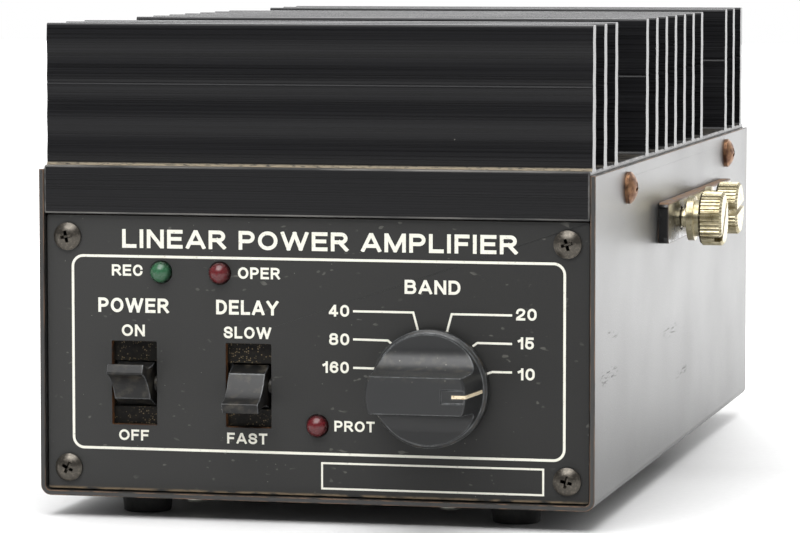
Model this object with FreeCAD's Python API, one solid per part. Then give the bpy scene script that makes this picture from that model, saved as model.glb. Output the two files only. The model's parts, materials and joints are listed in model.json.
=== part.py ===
import FreeCAD, Part
import math
import os

from FreeCAD import Vector

# HF linear amplifier: a folded steel case closed on top by a finned heat sink, with a recessed
# front panel (two paddle switches, a band knob, three lamps), connectors on the rear panel, a
# mounting rail with two thumb screws on each side, and the radio-frequency works inside.
#
# Frame: +X to the right seen from the front, +Y to the back, +Z up, origin on the floor at the
# centre of the overall footprint. All sizes in millimetres.

# ---------------------------------------------------------------------------------------------
# Driving dimensions
# ---------------------------------------------------------------------------------------------

# case
case_width = 130.0
case_depth = 240.0
case_side_height = 75.5
case_sheet = 1.2
case_bend_radius = 2.4

# feet
foot_height = 5.0
foot_top_radius = 6.0
foot_bottom_radius = 5.5
foot_inset_side = 21.0
foot_inset_end = 16.0
foot_recess_radius = 3.4
foot_recess_depth = 2.6

# heat sink
sink_base = 5.0
sink_rise = 1.0
fin_height = 32.5
fin_end_margin = 4.8
fin_root_thickness = 3.9
fin_tip_thickness = 3.3
fin_group_counts = (3, 7, 3)
fin_places_left_out = 2
fin_root_fillet = 0.8
fin_tip_round = 0.6
fin_ripple = 0.12
lower_ripple_count = 4
upper_ripple_count = 3
fin_groove_height = 18.9
fin_groove_width = 0.8
fin_groove_depth = 0.25
sink_flange_height = 10.2
sink_flange_thickness = 3.2
sink_edge_bevel = 0.7
screw_port_radius = 4.0
screw_port_drop = 1.1
sink_bore_depth = 3.8
sink_screw_bite = 3.0

# screws that hold the sides to the heat sink
side_screw_inset = 42.0
side_screw_radius = 2.0
side_screw_length = 9.0
side_screw_head_radius = 3.75
side_screw_head_height = 2.5

# panels and the brackets behind them
panel_recess = 1.5
panel_thickness = 2.0
panel_gap = 0.3
panel_edge_round = 0.25
bracket_sheet = 1.6
bracket_flange = 8.5
bracket_bend_radius = 2.4
bracket_screw_line = 5.3
bracket_corner_notch = 2.0
flat_clearance = 0.3
hole_clearance = 0.1

# small M3 screws
m3_radius = 1.5
m3_length = 6.0
panel_screw_length = 7.0
panel_screw_head_radius = 3.2
panel_screw_head_height = 1.8
panel_screw_inset = 5.0
pan_head_radius = 2.8
pan_head_height = 1.6
bracket_screw_spacing = 60.0

# how screw heads are shaped: shares of the head's own height and radius
dome_rim_share = 0.35
pan_side_share = 0.6
pan_top_share = 0.75

# paddle switches
power_switch_from_left = 20.75
delay_switch_from_left = 47.9
switch_from_bottom = 24.6
switch_slot_width = 10.7
switch_slot_height = 19.3
switch_slot_above_pivot = 0.3
switch_slot_round = 0.3
pivot_depth = 2.4
paddle_width = 8.6
paddle_drum_radius = 5.0
paddle_flat_height = 4.45
paddle_length = 11.0
paddle_lip = 2.5
paddle_lip_round = 0.45
paddle_flank_hollow = 0.5
paddle_half_travel = 23.0
drum_clearance = 0.3
pin_radius = 0.9
pin_clearance = 0.05
cheek_thickness = 0.65
cheek_radius = 2.0
switch_body_width = 13.0
switch_body_height = 19.0
switch_body_depth = 16.0
switch_ear_thickness = 2.5
switch_ear_width = 8.0
switch_ear_reach = 13.5
switch_screw_spacing = 23.0
switch_screw_radius = 1.25
switch_screw_head_radius = 2.35
terminal_thickness = 0.6
terminal_width = 2.4
terminal_length = 6.0
terminal_pitch = 5.0

# lamps
lamp_radius = 2.5
lamp_proud = 2.6
lamp_length = 8.6
lamp_flange_radius = 2.9
lamp_flange = 1.0
lamp_lead = 8.0
lamp_lead_radius = 0.25
lamp_lead_pitch = 2.54
lamp_row_height = 50.6
receive_lamp_from_left = 27.25
operate_lamp_from_left = 41.2
protection_lamp_height = 16.1
protection_lamp_share = 0.378  # of the way from the delay switch to the band knob
clip_radius = 4.2

# band knob and switch
knob_from_right = 36.2
knob_from_bottom = 25.45
knob_height = 17.6
knob_skirt_radius = 13.5
knob_skirt_height = 3.1
knob_skirt_chamfer = 0.7
knob_gap = 0.8
knob_body_radius = 12.7
knob_front_radius = 11.5
knob_front_round = 0.7
knob_grip_height = 8.5
knob_grip_draft = 0.4
knob_scoop_radius = 5.0
knob_face_depth = 4.8
knob_cavity_radius = 8.6
knob_cavity_depth = 2.8
knob_strip_width = 3.0
knob_strip_length = 5.6
knob_strip_depth = 0.2
pointer_width = 0.75
pointer_proud = 0.08
pointer_start = 8.3
grub_radius = 1.5
grub_length = 4.0
shaft_radius = 3.0
shaft_clearance = 0.05
shaft_in_knob = 11.0
bushing_radius = 4.5
bushing_proud = 3.2
nut_flats = 12.0
nut_thickness = 2.2
nut_washer_radius = 7.0
nut_washer_thickness = 0.6
index_size = 26.0
index_plate = 1.5
index_round = 3.0
detent_wheel_radius = 9.5
detent_wheel_thickness = 2.5
detent_gap = 1.0
detent_notch_count = 12
detent_notch_radius = 1.0
wafer_count = 3
wafer_pitch = 20.0
first_wafer_depth = 24.0
wafer_radius = 12.0
wafer_thickness = 1.6
rotor_radius = 6.5
rod_spacing = 26.0
rod_radius = 1.25
rod_spacer_radius = 2.2
rod_end_nut_radius = 2.7
rod_end_nut = 2.0
wafer_side_lug_count = 5
lug_step_angle = 30.0
lug_width = 1.2
lug_thickness = 0.6
lug_reach = 3.0

# side rails and thumb screws
rail_thickness = 2.6
rail_length = 105.0
rail_height = 10.0
rail_from_front = 86.0
rail_below_top = 16.5
rail_corner_round = 1.5
rail_screw_inset = 8.0
rail_tap_depth = 2.1
front_thumb_from_front = 106.5
rear_thumb_from_front = 147.0
front_thumb_backed_off = 1.9
thumb_radius = 2.5
thumb_thread_clearance = 0.05
thumb_hole_clearance = 0.4
thumb_shank = 12.0
thumb_washer_radius = 5.5
thumb_washer_thickness = 1.6
thumb_neck_radius = 4.5
thumb_neck_length = 1.5
thumb_head_radius = 6.65
thumb_head_length = 5.8
thumb_knurl_count = 40
thumb_knurl_depth = 0.35
thumb_head_bevel = 0.5
thumb_slot_width = 1.4
thumb_slot_depth = 2.0
front_slot_angle = 50.0
rear_slot_angle = 8.0
rail_nut_radius = 4.5
rail_nut_depth = 7.2
rail_nut_end = 1.2

# rear connectors: places are from the rear panel's side edges (seen from the front) and bottom edge
output_socket_from_left = 22.0
input_socket_from_right = 22.0
socket_height = 38.0
socket_flange = 25.4
socket_flange_thickness = 1.6
socket_flange_round = 1.0
socket_shell_radius = 7.94
socket_shell_length = 15.4
socket_shell_bore = 6.6
socket_bore_depth = 11.0
socket_core_radius = 4.0
socket_core_short = 3.0
socket_contact_bore = 2.0
socket_back_radius = 6.0
socket_back_length = 9.0
socket_hole_radius = 7.0
socket_screw_spacing = 18.2
jack_from_left = 74.0
relay_jack_height = 45.0
level_jack_height = 24.0
jack_barrel_radius = 4.15
jack_barrel_length = 8.5
jack_barrel_bore = 3.4
jack_pin_bore = 1.6
jack_core_radius = 2.6
jack_flats = 11.0
jack_flange_thickness = 2.0
jack_back_radius = 3.9
jack_back_length = 9.0
inlet_from_left = 50.0
inlet_height = 38.0
inlet_width = 19.0
inlet_tall = 14.0
inlet_proud = 9.0
inlet_wall = 1.4
inlet_flange = 2.4
inlet_flange_thickness = 1.6
inlet_back = 12.0
inlet_pin_radius = 1.1
inlet_pin_pitch = 6.5
ground_height = 13.5
ground_radius = 2.5
ground_stud_proud = 14.0
ground_head_radius = 4.6
ground_head = 3.0
ground_collar = 1.5
ground_washer_radius = 5.0
ground_washer_thickness = 1.0
wing_hub_radius = 4.2
wing_hub_top_radius = 3.6
wing_hub_length = 4.5
wing_root_radius = 3.0
wing_foot = 0.8
wing_low = 2.6
wing_reach = 9.5
wing_tip_round = 1.0
wing_height = 7.5
wing_inner = 5.6
wing_shoulder = 6.4
wing_root_height = 3.4
wing_thickness = 1.8

# boards inside
board_thickness = 1.6
board_spacer = 8.0
board_spacer_radius = 2.8
spacer_thread = 2.5
board_hole_inset = 5.0
filter_board_from_left = 5.0
filter_board_width = 66.0
filter_board_from_front = 32.0
filter_board_depth = 62.0
relay_board_width = 106.0
relay_board_from_back = 26.0
relay_board_depth = 44.0
coil_outer = 6.0
coil_inner = 3.2
coil_width = 5.0
coil_row_count = 3
coil_column_count = 3
coil_spacing = 17.0
capacitor_width = 4.5
capacitor_height = 5.0
capacitor_depth = 2.4
relay_width = 28.0
relay_depth = 12.5
relay_height = 20.0
supply_can_radius = 8.0
supply_can_height = 26.0
supply_can_bevel = 1.0
pa_board_width = 100.0
pa_board_from_front = 58.0
pa_board_depth = 128.0
pa_spacer = 6.0
transistor_from_front = 120.0
transistor_spacing = 34.0
transistor_flange_width = 9.5
transistor_flange_length = 24.6
transistor_flange = 2.8
transistor_cap_radius = 5.6
transistor_cap = 3.2
transistor_lead_width = 5.5
transistor_lead_length = 5.0
transistor_lead = 0.4
transistor_window = 0.6
transistor_screw_spacing = 18.4
ferrite_radius = 7.0
ferrite_bore = 3.5
ferrite_length = 26.0
output_transformer_from_front = 156.0
small_ferrite_radius = 4.5
small_ferrite_bore = 2.0
small_ferrite_length = 15.0
input_transformer_from_front = 82.0
tube_wall = 0.5
end_plate = 1.2

# ---------------------------------------------------------------------------------------------
# Places worked out from the driving dimensions
# ---------------------------------------------------------------------------------------------

front_reach = knob_height - panel_recess
rear_reach = socket_flange_thickness + socket_shell_length - panel_recess
case_front = -(case_depth + rear_reach - front_reach) / 2
case_back = case_front + case_depth
case_middle = case_front + case_depth / 2
half_width = case_width / 2
inner_half_width = half_width - case_sheet

case_bottom = foot_height
case_floor = case_bottom + case_sheet
case_top = case_bottom + case_side_height
sink_top = case_top + sink_rise
sink_underside = sink_top - sink_base
fin_top = sink_top + fin_height
flange_bottom = case_top - sink_flange_height

panel_front = case_front + panel_recess
panel_back = panel_front + panel_thickness
bracket_back = panel_back + bracket_sheet
rear_face = case_back - panel_recess
rear_inner = rear_face - panel_thickness - bracket_sheet
panel_half_width = inner_half_width - panel_gap
panel_left = -panel_half_width
panel_right = panel_half_width
panel_bottom = case_floor + panel_gap
panel_top = flange_bottom - flat_clearance

switch_height = panel_bottom + switch_from_bottom
power_switch_x = panel_left + power_switch_from_left
delay_switch_x = panel_left + delay_switch_from_left
pivot_y = panel_front + pivot_depth

knob_x = panel_right - knob_from_right
knob_z = panel_bottom + knob_from_bottom
knob_front = panel_front - knob_height
knob_back = panel_front - knob_gap

ground_x = panel_right - input_socket_from_right

rail_z = case_top - rail_below_top
thumb_places = (("front", front_thumb_from_front, front_thumb_backed_off, front_slot_angle),
                ("rear", rear_thumb_from_front, 0.0, rear_slot_angle))

protection_lamp_x = delay_switch_x + protection_lamp_share * (knob_x - delay_switch_x)
lamp_places = ((panel_left + receive_lamp_from_left, panel_bottom + lamp_row_height),
               (panel_left + operate_lamp_from_left, panel_bottom + lamp_row_height),
               (protection_lamp_x, panel_bottom + protection_lamp_height))

board_underside = case_floor + board_spacer
board_top = board_underside + board_thickness
pa_board_top = sink_underside - pa_spacer
pa_board_underside = pa_board_top - board_thickness

UP = Vector(0, 0, 1)
DOWN = Vector(0, 0, -1)
BACK = Vector(0, 1, 0)
FORWARD = Vector(0, -1, 0)
RIGHT = Vector(1, 0, 0)
HEXAGON = 6
NEARLY_ZERO = 0.001

# ---------------------------------------------------------------------------------------------
# Shape helpers
# ---------------------------------------------------------------------------------------------


def block(x0, x1, y0, y1, z0, z1):
    return Part.makeBox(x1 - x0, y1 - y0, z1 - z0, Vector(x0, y0, z0))


def rod(radius, start, direction, length):
    return Part.makeCylinder(radius, length, start, direction)


def tube(outer, inner, start, direction, length):
    return rod(outer, start, direction, length).cut(rod(inner, start, direction, length))


def round_edges(shape, radius, wanted):
    """Rounds the edges for which wanted(edge) is true."""
    edges = [edge for edge in shape.Edges if wanted(edge)]
    return shape.makeFillet(radius, edges)


def runs_along(axis):
    """A test for straight edges that lie along 'x', 'y' or 'z'."""

    def test(edge):
        size = edge.BoundBox
        spans = {"x": size.XLength, "y": size.YLength, "z": size.ZLength}
        longest = spans.pop(axis)
        return longest > NEARLY_ZERO and max(spans.values()) < NEARLY_ZERO

    return test


def edges_of(points, place):
    """Edges through points: (u, v) ends a straight run, (mid u, mid v, u, v) ends an arc."""
    edges = []
    here = points[0]
    for point in points[1:]:
        end = point[-2:]
        if len(point) == 4:
            edges.append(Part.Arc(place(*here), place(*point[:2]), place(*end)).toShape())
        elif place(*here).distanceToPoint(place(*end)) > NEARLY_ZERO / 10:
            edges.append(Part.makeLine(place(*here), place(*end)))
        here = end
    return edges


def plate_of(points, place, thickness_vector):
    """A closed outline of points, made a face and extruded."""
    wire = Part.Wire(edges_of(points + [points[0][-2:]], place))
    return Part.Face(wire).extrude(thickness_vector)


def lathe(points, origin, direction):
    """A turned piece: points are (radius, height) pairs, height along direction from origin."""
    wire = Part.Wire(edges_of(points + [points[0][-2:]], lambda r, h: Vector(r, 0, h)))
    turned = Part.Face(wire).revolve(Vector(0, 0, 0), UP, 360)
    turned.Placement = FreeCAD.Placement(origin, FreeCAD.Rotation(UP, direction))
    return turned


def regular_bar(flats, sides, origin, direction, length):
    """A bar of regular polygon section, given across its flats."""
    corner = flats / 2 / math.cos(math.pi / sides)
    angles = [2 * math.pi * (i + 0.5) / sides for i in range(sides + 1)]
    points = [Vector(corner * math.cos(a), corner * math.sin(a), 0) for a in angles]
    bar = Part.Face(Part.makePolygon(points)).extrude(Vector(0, 0, length))
    bar.Placement = FreeCAD.Placement(origin, FreeCAD.Rotation(UP, direction))
    return bar


def dome_screw(seat, direction, head_radius, head_height, shank_radius, length):
    """A screw with a low domed head: direction points out of the head, seat is under it."""
    rim = head_height * dome_rim_share
    cap = head_height - rim
    sphere = (head_radius ** 2 + cap ** 2) / (2 * cap)
    half = head_radius / 2
    mid = head_height - sphere + math.sqrt(sphere ** 2 - half ** 2)
    points = [(0, -length), (shank_radius, -length), (shank_radius, 0), (head_radius, 0),
              (head_radius, rim), (half, mid, 0, head_height)]
    return lathe(points, seat, direction)


def pan_screw(seat, direction, length=m3_length):
    """A plain pan-head M3 screw, its head out along direction."""
    points = [(0, -length), (m3_radius, -length), (m3_radius, 0), (pan_head_radius, 0),
              (pan_head_radius, pan_head_height * pan_side_share),
              (pan_head_radius * pan_top_share, pan_head_height), (0, pan_head_height)]
    return lathe(points, seat, direction)


def drilled(shape, centres, radius, direction, length):
    """Drills one round hole from each centre along direction."""
    for centre in centres:
        shape = shape.cut(rod(radius, centre, direction, length))
    return shape


def group(shapes):
    return Part.makeCompound(list(shapes))


# ---------------------------------------------------------------------------------------------
# Case, feet and heat sink
# ---------------------------------------------------------------------------------------------


def foot_centres():
    xs = (-half_width + foot_inset_side, half_width - foot_inset_side)
    ys = (case_front + foot_inset_end, case_back - foot_inset_end)
    return [(x, y) for x in xs for y in ys]


def side_screw_ys():
    return (case_front + side_screw_inset, case_back - side_screw_inset)


def side_screw_z():
    return sink_underside - screw_port_drop


def bracket_screw_places():
    """X and Y of the screws through both flanges of both brackets."""
    ys = (panel_back + bracket_screw_line,
          case_back - panel_recess - panel_thickness - bracket_screw_line)
    return [(x, y) for x in (-bracket_screw_spacing / 2, bracket_screw_spacing / 2) for y in ys]


def floor_screw_places():
    """X and Y of every screw that comes up through the case's floor."""
    return bracket_screw_places() + floor_spacer_centres()


def rail_screw_ys():
    start = case_front + rail_from_front
    return (start + rail_screw_inset, start + rail_length - rail_screw_inset)


def lower_case():
    outer = block(-half_width, half_width, case_front, case_back, case_bottom, case_top)
    outer = round_edges(outer, case_bend_radius,
                        lambda e: runs_along("y")(e) and e.BoundBox.ZMax < case_floor)
    inner = block(-inner_half_width, inner_half_width, case_front, case_back,
                  case_floor, case_top)
    inner = round_edges(inner, case_bend_radius - case_sheet,
                        lambda e: runs_along("y")(e) and e.BoundBox.ZMax < case_floor + NEARLY_ZERO)
    case = outer.cut(inner)
    across = Vector(-half_width, 0, 0)
    side_holes = [across + Vector(0, y, side_screw_z()) for y in side_screw_ys()]
    case = drilled(case, side_holes, side_screw_radius + hole_clearance, RIGHT, case_width)
    thumb_holes = [across + Vector(0, case_front + place[1], rail_z) for place in thumb_places]
    case = drilled(case, thumb_holes, thumb_radius + thumb_hole_clearance, RIGHT, case_width)
    rail_holes = [across + Vector(0, y, rail_z) for y in rail_screw_ys()]
    case = drilled(case, rail_holes, m3_radius + hole_clearance, RIGHT, case_width)
    floor_holes = [Vector(x, y, case_bottom) for x, y in floor_screw_places() + foot_centres()]
    return drilled(case, floor_holes, m3_radius + hole_clearance, UP, case_sheet)


def fin_centres():
    """Y of each fin's middle: groups on one even grid, with places left out between them."""
    places = []
    place = 0
    for count in fin_group_counts:
        places += range(place, place + count)
        place += count + fin_places_left_out
    first = case_front + fin_end_margin
    fin_pitch = (case_depth - 2 * fin_end_margin) / places[-1]
    return [first + p * fin_pitch for p in places]


def fin_side(centre, side):
    """One flank of a fin from root to tip: rippled, with one shallow groove. side is -1 or 1."""
    low = sink_top + fin_root_fillet
    high = fin_top - fin_tip_round

    def at(z, push=0.0):
        share = (z - low) / (high - low)
        half = (fin_root_thickness + (fin_tip_thickness - fin_root_thickness) * share) / 2
        return centre + side * half + push

    groove = sink_top + fin_groove_height
    groove_low = groove - fin_groove_width / 2
    groove_high = groove + fin_groove_width / 2
    points = [(at(low), low)]
    push = fin_ripple
    for start, stop, count in ((low, groove_low, lower_ripple_count),
                               (groove_high, high, upper_ripple_count)):
        step = (stop - start) / count
        for i in range(count):
            z_mid = start + (i + 0.5) * step
            z_end = start + (i + 1) * step
            points.append((at(z_mid, push), z_mid, at(z_end), z_end))
            push = -push
        if stop == groove_low:
            points.append((at(groove) - side * fin_groove_depth, groove))
            points.append((at(groove_high), groove_high))
    return points


def reversed_run(points):
    """The same run of points, walked from its end to its start."""
    ends = [p[-2:] for p in points]
    turned = [ends[-1]]
    for i in range(len(points) - 1, 0, -1):
        mid = points[i][:2] if len(points[i]) == 4 else ()
        turned.append(mid + ends[i - 1])
    return turned


def fin_outline(centre):
    """A fin from the base in front of it to the base behind it."""
    diagonal = 1 - math.sqrt(0.5)
    front = fin_side(centre, -1)
    back = reversed_run(fin_side(centre, 1))
    fillet = fin_root_fillet
    tip = fin_tip_round
    front_y = front[0][0]
    back_y = back[-1][-2]
    tip_front = front[-1][-2]
    tip_back = back[0][0]
    points = [(front_y - fillet, sink_top)]
    points.append((front_y - fillet * diagonal, sink_top + fillet * diagonal) + front[0])
    points += front[1:]
    points.append((tip_front + tip * diagonal, fin_top - tip * diagonal,
                   tip_front + tip, fin_top))
    points.append((tip_back - tip, fin_top))
    points.append((tip_back - tip * diagonal, fin_top - tip * diagonal) + back[0])
    points += back[1:]
    points.append((back_y + fillet * diagonal, sink_top + fillet * diagonal,
                   back_y + fillet, sink_top))
    return points


def flange_outline(edge_y, inward):
    """The hanging flange at one end, from its inner root round to the top of the base."""
    inner_y = edge_y + inward * sink_flange_thickness
    bevel = inward * sink_edge_bevel
    return [(inner_y, sink_underside), (inner_y, flange_bottom),
            (edge_y + bevel, flange_bottom), (edge_y, flange_bottom + sink_edge_bevel),
            (edge_y, sink_top - sink_edge_bevel), (edge_y + bevel, sink_top)]


def screw_port_outline(centre):
    """A rib under the base that carries a tapped hole along the extrusion, walked backwards."""
    z = side_screw_z()
    return [(centre + screw_port_radius, sink_underside), (centre + screw_port_radius, z),
            (centre, z - screw_port_radius, centre - screw_port_radius, z),
            (centre - screw_port_radius, sink_underside)]


def sink_bore_places():
    """X and Y of the blind holes in the underside: brackets, board spacers, transistors."""
    return bracket_screw_places() + pa_spacer_centres() + transistor_screw_places()


def heat_sink():
    outline = flange_outline(case_front, 1)
    for centre in fin_centres():
        outline += fin_outline(centre)
    outline += reversed_run(flange_outline(case_back, -1))
    for centre in reversed(side_screw_ys()):
        outline += screw_port_outline(centre)
    sink = plate_of(outline, lambda y, z: Vector(-inner_half_width, y, z),
                    Vector(2 * inner_half_width, 0, 0))
    depth = side_screw_length
    ports = [(Vector(-inner_half_width, y, side_screw_z()), RIGHT) for y in side_screw_ys()]
    ports += [(Vector(inner_half_width, y, side_screw_z()), -RIGHT) for y in side_screw_ys()]
    for start, direction in ports:
        sink = sink.cut(rod(side_screw_radius + hole_clearance, start, direction, depth))
    bores = [Vector(x, y, sink_underside) for x, y in sink_bore_places()]
    return drilled(sink, bores, m3_radius + hole_clearance, UP, sink_bore_depth)


def side_screws():
    screws = []
    for side in (-1, 1):
        for y in side_screw_ys():
            seat = Vector(side * half_width, y, side_screw_z())
            screws.append(dome_screw(seat, Vector(side, 0, 0), side_screw_head_radius,
                                     side_screw_head_height, side_screw_radius,
                                     side_screw_length))
    return group(screws)


def rubber_feet():
    feet = []
    for x, y in foot_centres():
        outline = [(m3_radius + hole_clearance, foot_recess_depth),
                   (foot_recess_radius, foot_recess_depth), (foot_recess_radius, 0),
                   (foot_bottom_radius - panel_edge_round, 0),
                   (foot_bottom_radius, panel_edge_round), (foot_top_radius, foot_height),
                   (m3_radius + hole_clearance, foot_height)]
        feet.append(lathe(outline, Vector(x, y, 0), UP))
    return group(feet)


def foot_screws():
    """Each foot's screw, its head up inside the rubber, with its nut on the case floor."""
    pieces = []
    for x, y in foot_centres():
        length = foot_height - foot_recess_depth + case_sheet + nut_thickness
        screw = pan_screw(Vector(x, y, foot_recess_depth), DOWN, length)
        nut = regular_bar(2 * pan_head_radius, HEXAGON, Vector(x, y, case_floor), UP,
                          nut_thickness)
        pieces.append(screw.fuse(nut))
    return group(pieces)


# ---------------------------------------------------------------------------------------------
# Panels, brackets and their screws
# ---------------------------------------------------------------------------------------------


def panel_screw_places():
    xs = (panel_left + panel_screw_inset, panel_right - panel_screw_inset)
    zs = (panel_bottom + panel_screw_inset, panel_top - panel_screw_inset)
    return [(x, z) for x in xs for z in zs]


def panel_blank(front):
    """A flat panel whose front face lies at y = front, with its four corner holes."""
    panel = block(panel_left, panel_right, front, front + panel_thickness,
                  panel_bottom, panel_top)
    panel = round_edges(panel, panel_edge_round * 2, runs_along("y"))
    holes = [Vector(x, front, z) for x, z in panel_screw_places()]
    return drilled(panel, holes, m3_radius + hole_clearance, BACK, panel_thickness)


def switch_slot(x, y, depth):
    half = switch_slot_width / 2
    tall = switch_slot_height / 2
    middle = switch_height + switch_slot_above_pivot
    slot = block(x - half, x + half, y, y + depth, middle - tall, middle + tall)
    return round_edges(slot, switch_slot_round, runs_along("y"))


def front_panel():
    panel = panel_blank(panel_front)
    for x in (power_switch_x, delay_switch_x):
        panel = panel.cut(switch_slot(x, panel_front, panel_thickness))
    lamps = [Vector(x, panel_front, z) for x, z in lamp_places]
    panel = drilled(panel, lamps, lamp_radius + hole_clearance, BACK, panel_thickness)
    knob_hole = [Vector(knob_x, panel_front, knob_z)]
    return drilled(panel, knob_hole, bushing_radius + hole_clearance, BACK, panel_thickness)


def bracket_blank():
    """A channel behind the front panel: web upright, one flange on the floor, one under the sink."""
    outer = block(panel_left, panel_right, panel_back, panel_back + bracket_flange,
                  case_floor, sink_underside)
    front_bends = lambda e: runs_along("x")(e) and e.BoundBox.YMax < panel_back + NEARLY_ZERO
    outer = round_edges(outer, bracket_bend_radius, front_bends)
    inner = block(panel_left, panel_right, bracket_back, panel_back + bracket_flange,
                  case_floor + bracket_sheet, sink_underside - bracket_sheet)
    inner_bends = lambda e: runs_along("x")(e) and e.BoundBox.YMax < bracket_back + NEARLY_ZERO
    inner = round_edges(inner, bracket_bend_radius - bracket_sheet, inner_bends)
    bracket = outer.cut(inner)
    notch = bracket_corner_notch
    for corner_x in (panel_left, panel_right - notch):
        bracket = bracket.cut(block(corner_x, corner_x + notch, panel_back,
                                    panel_back + bracket_flange, case_floor,
                                    case_floor + notch))
    holes = [Vector(x, panel_back, z) for x, z in panel_screw_places()]
    bracket = drilled(bracket, holes, m3_radius + hole_clearance, BACK, bracket_sheet)
    screws = [Vector(x, y, case_floor) for x, y in bracket_screw_places()
              if y < case_middle]
    return drilled(bracket, screws, m3_radius + hole_clearance, UP,
                   sink_underside - case_floor)


def front_bracket():
    bracket = bracket_blank()
    for x in (power_switch_x, delay_switch_x):
        half = paddle_width / 2 + drum_clearance + cheek_thickness + hole_clearance
        tall = paddle_drum_radius + drum_clearance
        slot = block(x - half, x + half, panel_back, bracket_back,
                     switch_height - tall, switch_height + tall)
        bracket = bracket.cut(slot)
        for side in (-1, 1):
            seat = Vector(x, panel_back, switch_height + side * switch_screw_spacing / 2)
            bracket = bracket.cut(Part.makeCone(switch_screw_head_radius + hole_clearance,
                                                switch_screw_radius + hole_clearance,
                                                bracket_sheet, seat, BACK))
    lamps = [Vector(x, panel_back, z) for x, z in lamp_places]
    bracket = drilled(bracket, lamps, lamp_radius + hole_clearance, BACK, bracket_sheet)
    knob_hole = [Vector(knob_x, panel_back, knob_z)]
    return drilled(bracket, knob_hole, bushing_radius + hole_clearance, BACK, bracket_sheet)


def turned_about_middle(shape):
    """The same piece at the other end of the case: half a turn about the upright centre line."""
    turned = shape.copy()
    turned.rotate(Vector(0, case_middle, 0), UP, 180)
    return turned


def panel_x(from_left):
    return panel_left + from_left


def panel_z(from_bottom):
    return panel_bottom + from_bottom


def coax_places():
    return [(x, panel_z(socket_height)) for x in (panel_x(output_socket_from_left),
                                                  panel_right - input_socket_from_right)]


def jack_places():
    return [(panel_x(jack_from_left), panel_z(z)) for z in (relay_jack_height,
                                                             level_jack_height)]


def socket_screw_places():
    half = socket_screw_spacing / 2
    return [(x + i * half, z + j * half)
            for x, z in coax_places() for i in (-1, 1) for j in (-1, 1)]


def rear_cutouts(start, depth):
    """Everything that passes through the rear panel and the bracket behind it."""
    cuts = [rod(socket_hole_radius, Vector(x, start, z), BACK, depth)
            for x, z in coax_places()]
    cuts += [rod(m3_radius + hole_clearance, Vector(x, start, z), BACK, depth)
             for x, z in socket_screw_places()]
    cuts += [rod(jack_back_radius + hole_clearance, Vector(x, start, z), BACK, depth)
             for x, z in jack_places()]
    cuts.append(rod(ground_radius + hole_clearance, ground_point(start), BACK, depth))
    x, z = panel_x(inlet_from_left), panel_z(inlet_height)
    wide = inlet_width / 2 + hole_clearance
    tall = inlet_tall / 2 + hole_clearance
    cuts.append(block(x - wide, x + wide, start, start + depth, z - tall, z + tall))
    return cuts


def rear_panel():
    panel = panel_blank(rear_face - panel_thickness)
    for cut in rear_cutouts(rear_face - panel_thickness, panel_thickness):
        panel = panel.cut(cut)
    return panel


def rear_bracket():
    bracket = turned_about_middle(bracket_blank())
    for cut in rear_cutouts(rear_inner, bracket_sheet):
        bracket = bracket.cut(cut)
    return bracket


def panel_screws():
    screws = []
    for y, direction in ((panel_front, FORWARD), (rear_face, BACK)):
        for x, z in panel_screw_places():
            screws.append(dome_screw(Vector(x, y, z), direction, panel_screw_head_radius,
                                     panel_screw_head_height, m3_radius, panel_screw_length))
    return group(screws)


def chassis_screws():
    """The M3 pan-head screws inside and under the case: brackets, boards and rails."""
    screws = [pan_screw(Vector(x, y, case_bottom), DOWN, case_sheet + bracket_sheet)
              for x, y in bracket_screw_places()]
    screws += [pan_screw(Vector(x, y, sink_underside - bracket_sheet), DOWN,
                         bracket_sheet + sink_screw_bite)
               for x, y in bracket_screw_places()]
    screws += [pan_screw(Vector(x, y, case_bottom), DOWN, m3_length)
               for x, y in floor_spacer_centres()]
    for side in (-1, 1):
        for y in rail_screw_ys():
            seat = Vector(side * inner_half_width, y, rail_z)
            screws.append(pan_screw(seat, Vector(-side, 0, 0), case_sheet + rail_tap_depth))
    return group(screws)


# ---------------------------------------------------------------------------------------------
# Paddle switches
# ---------------------------------------------------------------------------------------------


def turned_over(point):
    """A point or an arc's two points with every height negated."""
    return tuple(-value if i % 2 else value for i, value in enumerate(point))


def paddle_outline():
    """The paddle's side view: a drum about the pin, flat above and below, with a hollow-flanked
    lever in front.

    The first value runs forward from the pin, the second up, with the lever level."""
    root = (math.sqrt(paddle_drum_radius ** 2 - paddle_flat_height ** 2), paddle_flat_height)
    flat_back = (-root[0], root[1])
    half = paddle_lip / 2
    lip_start = paddle_length - paddle_lip
    mid = ((root[0] + lip_start) / 2, (root[1] + half) / 2)
    run = (lip_start - root[0], half - root[1])
    length = math.hypot(*run)
    hollow = (mid[0] + run[1] / length * paddle_flank_hollow,
              mid[1] - run[0] / length * paddle_flank_hollow)
    nose = paddle_length - paddle_lip_round
    corner = paddle_lip_round * (1 - math.sqrt(0.5))
    top = [root, hollow + (lip_start, half), (nose, half),
           (paddle_length - corner, half - corner, paddle_length, half - paddle_lip_round)]
    bottom = reversed_run([turned_over(point) for point in top])
    return top + bottom + [turned_over(flat_back), (-paddle_drum_radius, 0) + flat_back, root]


def paddle(x, turn):
    """A paddle on its pin at x, turned up by the given degrees."""
    place = lambda u, v: Vector(x - paddle_width / 2, pivot_y - u, switch_height + v)
    body = plate_of(paddle_outline(), place, Vector(paddle_width, 0, 0))
    bore = rod(pin_radius + pin_clearance, Vector(x - paddle_width, pivot_y, switch_height),
               RIGHT, 2 * paddle_width)
    body = body.cut(bore)
    body.rotate(Vector(x, pivot_y, switch_height), RIGHT, -turn)
    return body


def pin_half_length():
    return paddle_width / 2 + drum_clearance + cheek_thickness


def switch_pins():
    pins = [rod(pin_radius, Vector(x - pin_half_length(), pivot_y, switch_height), RIGHT,
                2 * pin_half_length()) for x in (power_switch_x, delay_switch_x)]
    return group(pins)


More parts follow.
